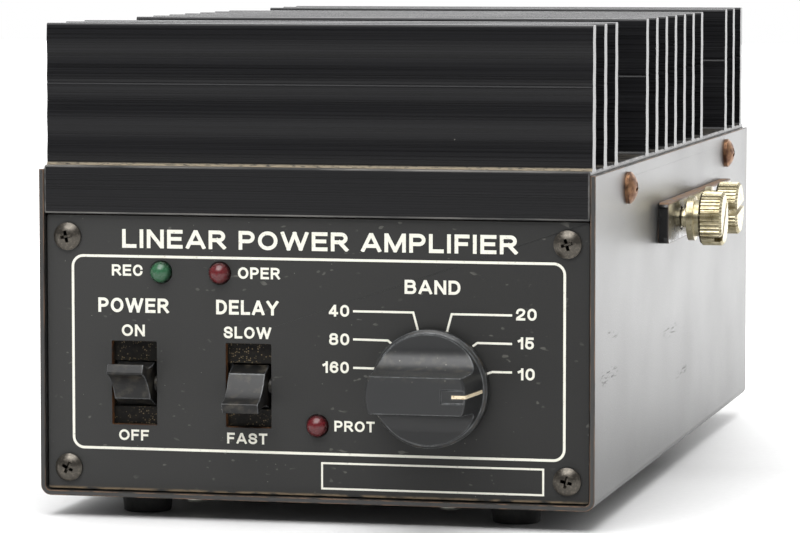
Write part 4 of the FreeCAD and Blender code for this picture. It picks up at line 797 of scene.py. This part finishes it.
def thumb_tree(material):
    """A thumb screw standing on its washer: neck, straight-knurled slotted head, threaded shank."""
    tree, size = new_tree("thumb_screw", Head_radius=6.6, Shank_length=12.0, Slot_turn=0.0,
                          **THUMB)
    ring = add(tree, "GeometryNodeCurvePrimitiveCircle",
               {"Resolution": size.Knurls * 4.0, "Radius": size.Head_radius})
    index = add(tree, "GeometryNodeInputIndex")
    shrink = 1.0 - (index.by("MODULO", 4.0) > 1.5) * (size.Knurl_depth / size.Head_radius)
    knurl = add(tree, "ShaderNodeVectorMath",
                {0: add(tree, "GeometryNodeInputPosition"), "Scale": shrink}, operation="SCALE")
    ring = add(tree, "GeometryNodeSetPosition", {0: ring, "Position": knurl})
    line = add(tree, "GeometryNodeCurvePrimitiveLine", {"Start": (0, 0, 0), "End": (0, 0, 1.0)})
    line = add(tree, "GeometryNodeResampleCurve", {0: line, "Count": 4}, mode="COUNT")
    is_first = index < 0.5
    is_second = (index > 0.5) * (index < 1.5)
    is_third = (index > 1.5) * (index < 2.5)
    is_last = index > 2.5
    rise = (is_second * size.Rim_bevel
            + (is_last * size.Head_length + is_third * (size.Head_length - size.Rim_bevel)))
    line = add(tree, "GeometryNodeSetPosition", {0: line, "Position": (0, 0, rise)})
    narrow = 1.0 - (is_first + is_last) * (size.Rim_bevel / size.Head_radius)
    line = add(tree, "GeometryNodeSetCurveRadius", {0: line, "Radius": narrow})
    drum = add(tree, "GeometryNodeCurveToMesh",
               {0: line, 1: ring, "Scale": narrow, "Fill Caps": True})
    cutter = add(tree, "GeometryNodeMeshCube",
                 {"Size": (size.Slot_width, size.Head_radius * 3.0, size.Slot_depth * 2.0)},
                 out="Mesh")
    cutter = add(tree, "GeometryNodeTransform",
                 {0: cutter, "Rotation": (0, 0, size.Slot_turn),
                  "Translation": (0, 0, size.Head_length)})
    drum = add(tree, "GeometryNodeMeshBoolean", {0: drum, 1: cutter}, operation="DIFFERENCE")
    parts = [add(tree, "GeometryNodeTransform",
                 {0: drum, "Translation": (0, 0, size.Neck_length)})]
    core_radius = size.Shank_radius - size.Thread_depth
    for sides, radius, length, share in ((48, size.Neck_radius, size.Neck_length, 0.5),
                                         (32, core_radius, size.Shank_length, -0.5)):
        bar = add(tree, "GeometryNodeMeshCylinder",
                  {"Vertices": sides, "Radius": radius, "Depth": length}, out="Mesh")
        parts.append(add(tree, "GeometryNodeTransform",
                         {0: bar, "Translation": (0, 0, length * share)}))
    ridge_radius = size.Thread_depth * thread_ridge_share
    path_radius = size.Shank_radius - ridge_radius
    run = size.Shank_length - size.Pitch
    helix = add(tree, "GeometryNodeCurveSpiral",
                {"Resolution": 24, "Rotations": run / size.Pitch, "Start Radius": path_radius,
                 "End Radius": path_radius, "Height": run})
    ridge = add(tree, "GeometryNodeCurvePrimitiveCircle",
                {"Resolution": 4, "Radius": ridge_radius})
    thread = add(tree, "GeometryNodeCurveToMesh", {0: helix, 1: ridge, "Fill Caps": True})
    lower = size.Shank_length * -1.0 + size.Pitch * 0.5
    parts.append(add(tree, "GeometryNodeTransform", {0: thread, "Translation": (0, 0, lower)}))
    return end_tree(tree, add(tree, "GeometryNodeJoinGeometry", {0: parts}), material)


# ---- Heat sink


def sink_base_mesh():
    """The plate under the fins with its two hanging flanges and screw ports, cut to length."""
    low, high = box_of("heat_sink")
    top = high.z - FIN["Height"]
    under = top - base_thickness
    front_flange, back_flange = low.y + flange_thickness, high.y - flange_thickness
    port_ys = sorted({round((a.y + b.y) / 2, 2) for a, b in solids_of("side_screws")})
    outline = [(front_flange, under), (front_flange, low.z), (low.y, low.z), (low.y, top),
               (high.y, top), (high.y, low.z), (back_flange, low.z), (back_flange, under)]
    for port_y in reversed(port_ys):
        outline.append((port_y + screw_port_radius, under))
        for i in range(screw_port_steps + 1):
            angle = math.pi * i / screw_port_steps
            outline.append((port_y + screw_port_radius * math.cos(angle),
                            under - screw_port_drop - screw_port_radius * math.sin(angle)))
        outline.append((port_y - screw_port_radius, under))
    shape = bmesh.new()
    ends = [[shape.verts.new(Vector((x, y, z)) * MM) for y, z in outline]
            for x in (low.x, high.x)]
    shape.faces.new(ends[0])
    shape.faces.new(ends[1])
    for i in range(len(outline)):
        j = (i + 1) % len(outline)
        shape.faces.new((ends[0][i], ends[0][j], ends[1][j], ends[1][i]))
    bmesh.ops.recalc_face_normals(shape, faces=shape.faces)
    return mesh_from(shape, "heat_sink_base")


def dress_heat_sink(finishes):
    low, high = box_of("heat_sink")
    anodised = finishes["black_anodised_aluminium"]
    first, last = low.y + fin_end_margin, high.y - fin_end_margin
    fins = grown(fin_tree(anodised, sawn_black_anodising()), Length=high.x - low.x,
                 Pitch=(last - first) / (FIN["Places"] - 1), **FIN)
    middle = Vector((0, (low.y + high.y) / 2, high.z - FIN["Height"]))
    fins.transform(Matrix.Translation(middle * MM))
    # The broken edges of the base take the painted highlight finish.
    base = bevelled(sink_base_mesh(), extrusion_bevel, (anodised, rubbed_anodising()))
    piece("finned_heat_sink", smooth(joined("finned_heat_sink", fins, base)), "root",
          "black_anodised_aluminium", "heat_sink")


# ---- Screws


def placed(mesh, centre, outward):
    """Moves a mesh that stands along +Z so that it stands along outward from the centre."""
    stand = UP.rotation_difference(outward).to_matrix().to_4x4()
    mesh.transform(Matrix.Translation(centre * MM) @ stand)
    return mesh


def screws_on(tree, solids, outward, seed, screw):
    """Screws for one flat row or grid of a node's solids, all with their heads outward."""
    axis = max(range(3), key=lambda i: abs(outward[i]))
    flat = [i for i in range(3) if i != axis]
    head_end, tail_end = (1, 0) if outward[axis] > 0 else (0, 1)
    centre = Vector((0, 0, 0))
    centre[axis] = solids[0][head_end][axis] - screw["Head_height"] * outward[axis]
    length = abs(solids[0][head_end][axis] - screw["Head_height"] * outward[axis]
                 - solids[0][tail_end][axis])
    spans = [sorted({round(((a + b) / 2)[i], 2) for a, b in solids}) for i in flat]
    for i, span in zip(flat, spans):
        centre[i] = (span[0] + span[-1]) / 2
    along_x = UP.rotation_difference(outward).to_matrix() @ RIGHT
    if abs(along_x[flat[0]]) < 0.5:
        spans.reverse()
    across, along = spans
    mesh = grown(tree, Shank_length=length, Across=across[-1] - across[0],
                 Along=along[-1] - along[0], Columns=len(across), Rows=len(along), Seed=seed,
                 **screw)
    return placed(mesh, centre, outward)


def dress_screws(finishes):
    tree = screw_tree("panel_screw_grid", finishes["blackened_steel"])
    solids = solids_of("panel_screws")
    front = [s for s in solids if s[0].y < 0]
    rear = [s for s in solids if s[0].y > 0]
    meshes = [screws_on(tree, front, FORWARD, 4, PANEL_SCREW),
              screws_on(tree, rear, BACK, 5, PANEL_SCREW)]
    piece("cross_head_panel_screws", smooth(joined("panel_screws", *meshes)), "root",
          "blackened_steel", "panel_screws")
    tree = screw_tree("side_screw_row", finishes["copper_plated_steel"])
    solids = solids_of("side_screws")
    meshes = [screws_on(tree, [s for s in solids if s[0].x * side > 0], RIGHT * side, 7 + side,
                        SIDE_SCREW) for side in (-1, 1)]
    piece("cross_head_side_screws", smooth(joined("side_screws", *meshes)), "root",
          "copper_plated_steel", "side_screws")


def dress_thumb_screws(finishes):
    tree = thumb_tree(finishes["nickel_plated_steel"])
    standing = THUMB["Head_length"] + THUMB["Neck_length"]
    for side, outward in (("left", -RIGHT), ("right", RIGHT)):
        for place in ("front", "rear"):
            name = f"{side}_{place}_thumb_screw"
            low, high = box_of(name)
            outer, inner = (high.x, low.x) if outward.x > 0 else (low.x, high.x)
            seat_x = outer - outward.x * standing
            mesh = grown(tree, Head_radius=(high.z - low.z) / 2, Shank_length=abs(seat_x - inner),
                         Slot_turn=math.radians(thumb_slot_angles[place]), **THUMB)
            centre = (low + high) / 2
            placed(mesh, Vector((seat_x, centre.y, centre.z)), outward)
            piece(f"{name}_knurled", smooth(mesh, KNURL_SHARP), name, "nickel_plated_steel", name)


# ---- Panels, case, knob, switches and rails with their edges broken


def dress_mouldings(finishes):
    panel, case = finishes["black_panel_paint"], finishes["satin_case_paint"]
    phenolic, plastic = finishes["knob_phenolic"], finishes["switch_plastic"]
    # rubbed is the edge finish of the knob and the switch paddles: a painted highlight along their
    # broken edges.
    worn, rubbed, gloss = worn_enamel_edge(), rubbed_moulding(), rail_enamel()
    for name, node, width, slot, *materials in (
            ("painted_front_panel", "front_panel", panel_edge, "black_panel_paint", panel),
            ("painted_rear_panel", "rear_panel", panel_edge, "black_panel_paint", panel),
            ("folded_case", "lower_case", case_edge, "satin_case_paint", case, worn),
            ("bar_grip_knob", "band_knob", moulding_edge, "knob_phenolic", phenolic, rubbed),
            ("power_switch_paddle", "power_paddle", moulding_edge, "switch_plastic", plastic,
             rubbed),
            ("delay_switch_paddle", "delay_paddle", moulding_edge, "switch_plastic", plastic,
             rubbed),
            ("left_rail_finished", "left_mount_rail", rail_edge, "black_panel_paint", gloss, worn),
            ("right_rail_finished", "right_mount_rail", rail_edge, "black_panel_paint", gloss,
             worn)):
        piece(name, eased(node, width, materials), frame["nodes"][node]["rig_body"], slot, node)


# ---- Printing on the front panel: places are from the case's left side and from its underside

# words, left, right, foot and top of each line of lettering
LETTERING = (
    ("LINEAR POWER AMPLIFIER", 19.5, 112.0, 57.55, 61.85),
    ("REC", 17.0, 24.3, 51.1, 53.7),
    ("OPER", 47.0, 56.9, 50.9, 53.55),
    ("POWER", 13.7, 30.55, 42.65, 46.0),
    ("DELAY", 41.8, 56.5, 42.65, 46.0),
    ("ON", 19.3, 24.8, 37.2, 39.9),
    ("SLOW", 43.6, 54.8, 37.2, 39.9),
    ("OFF", 18.5, 25.65, 13.1, 15.6),
    ("FAST", 44.3, 53.8, 13.0, 15.5),
    ("PROT", 69.6, 79.0, 16.45, 18.9),
    ("BAND", 86.0, 98.9, 48.2, 51.4),
    ("40", 68.35, 73.1, 42.7, 45.4),
    ("20", 111.7, 116.4, 42.7, 45.4),
    ("80", 68.4, 73.1, 36.2, 38.9),
    ("15", 112.1, 115.8, 36.2, 38.9),
    ("160", 66.85, 73.0, 29.8, 32.45),
    ("10", 112.1, 116.0, 29.2, 31.9),
)
# the leader line from each number to the knob
DIAL_LINES = (
    ((74.0, 44.0), (88.0, 44.0), (89.1, 39.95)),
    ((110.8, 43.8), (96.9, 43.8), (95.8, 39.75)),
    ((74.0, 37.6), (82.1, 37.5), (83.2, 36.6)),
    ((110.8, 37.35), (102.8, 37.4), (101.75, 36.6)),
    ((74.0, 31.1), (79.0, 31.06)),
    ((110.8, 30.9), (106.3, 30.9), (105.1, 30.5)),
)
FRAME_BOX = (7.65, 122.8, 11.2, 55.6)
FRAME_CORNER = 2.5
BADGE_BOX = (66.7, 118.0, 3.27, 9.1)

# each letter's width in letter heights and its strokes along their middles, in shares of the room
# inside its outline; a third value is a corner's radius, also in letter heights
ALPHABET = {
    "A": (1.0, ((0, 0), (0.46, 1)), ((1, 0), (0.54, 1)), ((0.2, 0.27), (0.8, 0.27))),
    "B": (0.87, ((0, 0), (0, 1), (0.92, 1, 0.22), (0.92, 0.54, 0.2), (0, 0.54)),
          ((0, 0.54), (1, 0.54, 0.22), (1, 0, 0.22), (0, 0))),
    "C": (0.9, ((1, 0.7), (1, 1, 0.4), (0, 1, 0.4), (0, 0, 0.4), (1, 0, 0.4), (1, 0.3))),
    "D": (0.88, ((0, 0), (0, 1), (1, 1, 0.36), (1, 0, 0.36), (0, 0))),
    "E": (0.8, ((1, 1), (0, 1), (0, 0), (1, 0)), ((0, 0.52), (0.9, 0.52))),
    "F": (0.75, ((1, 1), (0, 1), (0, 0)), ((0, 0.5), (0.86, 0.5))),
    "I": (0.2, ((0, 0), (0, 1))),
    "L": (0.74, ((0, 1), (0, 0), (1, 0))),
    "M": (1.08, ((0, 0), (0, 1)), ((1, 0), (1, 1)), ((0.05, 1), (0.49, 0)), ((0.95, 1), (0.51, 0))),
    "N": (0.88, ((0, 0), (0, 1)), ((1, 0), (1, 1)), ((0.06, 1), (0.94, 0))),
    "O": (1.0, ((0, 0.5), (0, 1, 0.42), (1, 1, 0.42), (1, 0, 0.42), (0, 0, 0.42), (0, 0.5))),
    "P": (0.82, ((0, 0), (0, 1), (1, 1, 0.27), (1, 0.44, 0.25), (0, 0.44))),
    "R": (0.88, ((0, 0), (0, 1), (0.95, 1, 0.25), (0.95, 0.48, 0.23), (0, 0.48)),
          ((0.5, 0.48), (1, 0))),
    "S": (0.85, ((0.97, 0.72), (0.97, 1, 0.35), (0.03, 1, 0.35), (0.03, 0.55, 0.25),
                 (1, 0.46, 0.25), (1, 0, 0.35), (0, 0, 0.35), (0, 0.28))),
    "T": (0.82, ((0, 1), (1, 1)), ((0.5, 1), (0.5, 0))),
    "W": (1.4, ((0, 1), (0.24, 0)), ((0.5, 1), (0.25, 0)), ((0.5, 1), (0.75, 0)),
          ((1, 1), (0.76, 0))),
    "Y": (0.96, ((0, 1), (0.48, 0.45)), ((1, 1), (0.52, 0.45)), ((0.5, 0.5), (0.5, 0))),
    "0": (0.72, ((0, 0.5), (0, 1, 0.32), (1, 1, 0.32), (1, 0, 0.32), (0, 0, 0.32), (0, 0.5))),
    "1": (0.45, ((1, 0), (1, 1)), ((0, 0.72), (0.9, 0.86))),
    "2": (0.72, ((0, 0.68), (0, 1, 0.3), (1, 1, 0.3), (1, 0.58, 0.2), (0, 0.1, 0.05), (0, 0),
                 (1, 0))),
    "4": (0.74, ((0.72, 0), (0.72, 1)), ((0.66, 1), (0, 0.3), (0, 0.24), (1, 0.24))),
    "5": (0.72, ((0.95, 1), (0.1, 1), (0.03, 0.48), (0.2, 0.62, 0.1), (1, 0.62, 0.26),
                 (1, 0, 0.26), (0, 0, 0.3), (0, 0.26))),
    "6": (0.72, ((0.96, 0.78), (0.96, 1, 0.3), (0, 1, 0.36), (0, 0, 0.3), (1, 0, 0.26),
                 (1, 0.58, 0.26), (0, 0.58, 0.26), (0, 0.3))),
    "8": (0.74, ((0.5, 1), (0.95, 1, 0.2), (0.95, 0.54, 0.2), (0.05, 0.54, 0.2),
                 (0.05, 1, 0.2), (0.5, 1)),
          ((0.5, 0.54), (1, 0.54, 0.22), (1, 0, 0.22), (0, 0, 0.22), (0, 0.54, 0.22),
           (0.5, 0.54))),
}


def rounded(points):
    """A run of points with those corners turned into arcs that carry a radius."""
    run = []
    for i, point in enumerate(points):
        here = Vector(point[:2])
        if len(point) < 3:
            run.append(here)
            continue
        legs = []
        for other in (points[i - 1], points[i + 1]):
            leg = Vector(other[:2]) - here
            room = leg.length / (2 if len(other) > 2 else 1)
            legs.append(leg.normalized() * min(point[2], room))
        for step in range(corner_steps + 1):
            angle = math.pi / 2 * step / corner_steps
            run.append(here + legs[0] * (1 - math.sin(angle)) + legs[1] * (1 - math.cos(angle)))
    return [p for i, p in enumerate(run) if i == 0 or (p - run[i - 1]).length > 1e-4]


def clipped(mesh, foot, top):
    """Cuts a flat mesh off level at two heights and closes it again."""
    shape = bmesh.new()
    shape.from_mesh(mesh)
    for height, outward in ((top, UP), (foot, -UP)):
        parts = shape.verts[:] + shape.edges[:] + shape.faces[:]
        cut = bmesh.ops.bisect_plane(shape, geom=parts, plane_co=UP * height,
                                     plane_no=outward, clear_outer=True)
        rim = [e for e in cut["geom_cut"] if isinstance(e, bmesh.types.BMEdge) and e.is_boundary]
        bmesh.ops.holes_fill(shape, edges=rim)
    return mesh_from(shape, "letter")


def printed_line(points, width, closed=False, thickness=ink_thickness):
    """A line of even width through points, mitred at its corners. It grows a little thicker as it
    runs, so that a line that crosses itself has no two faces in one plane."""
    points = [Vector(p) for p in points]
    count = len(points)
    shape = bmesh.new()
    rows = []
    for i, here in enumerate(points):
        into = (here - points[i - 1]).normalized() if closed or i else None
        out = (points[(i + 1) % count] - here).normalized() if closed or i < count - 1 else None
        into, out = into or out, out or into
        normal = Vector((-(into + out).y, (into + out).x)).normalized()
        half = width / 2 / normal.dot(Vector((-into.y, into.x)))
        face = -thickness * (1 + ink_step * i)
        rows.append([shape.verts.new((here.x + s * half * normal.x, depth,
                                      here.y + s * half * normal.y))
                     for s, depth in ((1, 0), (1, face), (-1, face), (-1, 0))])
    for i in range(count if closed else count - 1):
        a, b = rows[i], rows[(i + 1) % count]
        for j in range(4):
            k = (j + 1) % 4
            shape.faces.new((a[j], a[k], b[k], b[j]))
    if not closed:
        shape.faces.new(rows[0])
        shape.faces.new(rows[-1])
    bmesh.ops.recalc_face_normals(shape, faces=shape.faces)
    return mesh_from(shape, "line")


def letters(words, left, right, foot, top):
    """Sans-serif capitals of even stroke that fill a box, in the X-Z plane, facing -Y."""
    tall = top - foot
    pen = pen_share * tall
    widths = [word_gap if c == " " else ALPHABET[c][0] for c in words]
    share = (right - left) / (sum(widths) + letter_gap * (len(words) - 1))
    strokes = []
    start = left
    for letter, width in zip(words, widths):
        for i, stroke in enumerate(ALPHABET[letter][1:] if letter != " " else ()):
            places = [(start + pen / 2 + p[0] * (width * share - pen),
                       foot + pen / 2 + p[1] * (tall - pen), *(r * tall for r in p[2:]))
                      for p in stroke]
            run = rounded(places)
            closed = (run[0] - run[-1]).length < 1e-3
            if closed:
                run.pop()
            else:
                run[0] = run[0] + (run[0] - run[1]).normalized() * pen / 2
                run[-1] = run[-1] + (run[-1] - run[-2]).normalized() * pen / 2
            line = printed_line(run, pen, closed, ink_thickness * (1 + ink_step * i))
            strokes.append(clipped(line, foot, top))
        start += (width + letter_gap) * share
    return strokes


def rounded_box(left, right, foot, top, radius, steps=8):
    """The corner points of a box with round corners, walked round once."""
    points = []
    for x, z, start in ((right - radius, top - radius, 0), (left + radius, top - radius, 90),
                        (left + radius, foot + radius, 180), (right - radius, foot + radius, 270)):
        for i in range(steps + 1):
            angle = math.radians(start + 90 * i / steps)
            points.append((x + radius * math.cos(angle), z + radius * math.sin(angle)))
    return points


def print_front_panel():
    meshes = [stroke for row in LETTERING for stroke in letters(*row)]
    meshes += [printed_line(points, dial_line) for points in DIAL_LINES]
    meshes.append(printed_line(rounded_box(*FRAME_BOX, FRAME_CORNER), frame_line, closed=True))
    left, right, foot, top = BADGE_BOX
    corners = ((left, foot), (right, foot), (right, top), (left, top))
    meshes.append(printed_line(corners, badge_line, closed=True))
    ink = screen_ink()
    for mesh in meshes:
        mesh.materials.append(ink)
    whole = joined("panel_lettering", *meshes)
    case_low = box_of("lower_case")[0]
    panel_front = box_of("front_panel")[0].y
    whole.transform(Matrix.Translation((case_low.x, panel_front, case_low.z)))
    whole.transform(Matrix.Scale(MM, 4))
    piece("panel_lettering", whole, "root", "pointer_paint")


# ---- Studio: camera, light and floor

camera_place = (224.70, -1009.48, 133.68)
camera_lens = 182.67
camera_yaw = 12.939
camera_pitch = 4.645
camera_roll = -0.02
floor_half = 4000.0
floor_squares = 12

# light and glow: where a run starts and ends, and its strength there
tent_front = (-0.85, 0.3, 0.1, 0.6)
tent_back = (0.3, 0.9, 0.0, 1.6)
far_glow = (0.9, 2.2, 0.0, 1.0)
back_glow = (0.0, 0.5, 0.0, 1.4)


def place_camera():
    yaw, pitch, roll = (math.radians(a) for a in (camera_yaw, camera_pitch, camera_roll))
    ahead = Vector((-math.sin(yaw) * math.cos(pitch), math.cos(yaw) * math.cos(pitch),
                    -math.sin(pitch)))
    level = Vector((math.cos(yaw), math.sin(yaw), 0))
    upright = level.cross(ahead)
    right = level * math.cos(roll) + upright * math.sin(roll)
    above = upright * math.cos(roll) - level * math.sin(roll)
    camera = linked("camera", bpy.data.cameras.new("camera"))
    camera.data.lens = camera_lens
    camera.data.clip_start = 0.05
    camera.data.clip_end = 100.0
    turn = Matrix((right, above, -ahead)).transposed().to_4x4()
    camera.matrix_world = Matrix.Translation(Vector(camera_place) * MM) @ turn
    scene.camera = camera


def softbox(name, place, target, wide, tall, watts):
    """A rectangular diffused light at place, facing target; sizes in metres."""
    lamp = bpy.data.lights.new(name, "AREA")
    lamp.shape = "RECTANGLE"
    lamp.size, lamp.size_y = wide, tall
    lamp.energy = watts
    aim = (Vector(target) - Vector(place)).to_track_quat("-Z", "Y").to_matrix().to_4x4()
    linked(name, lamp).matrix_world = Matrix.Translation(place) @ aim


def light_studio():
    """A white tent: bright behind and above the object, dim in front, so that black stays black."""
    world = bpy.data.worlds.new("white_tent")
    scene.world = world
    world.use_nodes = True
    tree = world.node_tree
    tree.nodes.clear()
    direction = add(tree, "ShaderNodeTexCoord", out="Generated")
    back = add(tree, "ShaderNodeSeparateXYZ", {0: direction}, out=1)
    front_part, back_part = (add(tree, "ShaderNodeMapRange", {0: back, **dict(enumerate(run, 1))})
                             for run in (tent_front, tent_back))
    level = front_part + back_part
    light, white = (add(tree, "ShaderNodeBackground", {"Color": linear("ffffff"), "Strength": s})
                    for s in (level, 1.0))
    seen = add(tree, "ShaderNodeLightPath", out="Is Camera Ray")
    mixed = add(tree, "ShaderNodeMixShader", {0: seen, 1: light, 2: white})
    add(tree, "ShaderNodeOutputWorld", {"Surface": mixed})
    softbox("overhead_softbox", (0.0, -0.5, 1.15), (0.0, 0.0, 0.0), 1.0, 1.4, 20.5)
    softbox("front_softbox", (-0.2, -0.9, 0.78), (0.0, 0.0, 0.05), 0.9, 0.3, 3.0)


def lay_floor():
    """A white paper sweep that glows behind the object and far out, as in a tent lit from behind."""
    tree, finish = new_material("white_paper", Roughness=0.7, Emission_Color=linear("ffffff"))
    fibre = blotches(tree, 2.0, 0.3, 0.7, detail=4.0)
    place = add(tree, "ShaderNodeTexCoord", out="Object")
    away = add(tree, "ShaderNodeVectorMath", {0: place}, out=1, operation="LENGTH")
    back = add(tree, "ShaderNodeSeparateXYZ", {0: place}, out=1)
    far = add(tree, "ShaderNodeMapRange", {0: away, **dict(enumerate(far_glow, 1))})
    behind = add(tree, "ShaderNodeMapRange", {0: back, **dict(enumerate(back_glow, 1))})
    glow = far.by("MAXIMUM", behind)
    shape = bmesh.new()
    bmesh.ops.create_grid(shape, x_segments=floor_squares, y_segments=floor_squares,
                          size=floor_half * MM)
    mesh = mesh_from(shape, "paper_sweep")
    mesh.materials.append(finish(tinted(fibre, "e4e4e4", "e8e8e8"), glow=glow))
    linked("paper_sweep", mesh)


# ---- The whole scene

place_camera()
light_studio()
lay_floor()
scene.view_settings.view_transform = "Standard"

finishes = all_finishes()
for row in frame["record"]["subparts"]:
    materials = frame["nodes"][row["node"]].data.materials
    materials.clear()
    materials.append(finishes[row["material_slot"]])
# The bracket and the zinc-plated switch screws take the dark dusty enamel, and the switch pins
# blackened steel: painted shade where they sit deep in the switch openings.
for node in ("front_bracket", "switch_screws"):
    frame["nodes"][node].data.materials[0] = dusty_bracket_enamel()
frame["nodes"]["switch_pins"].data.materials[0] = finishes["blackened_steel"]

dress_heat_sink(finishes)
dress_screws(finishes)
dress_thumb_screws(finishes)
dress_mouldings(finishes)
print_front_panel()
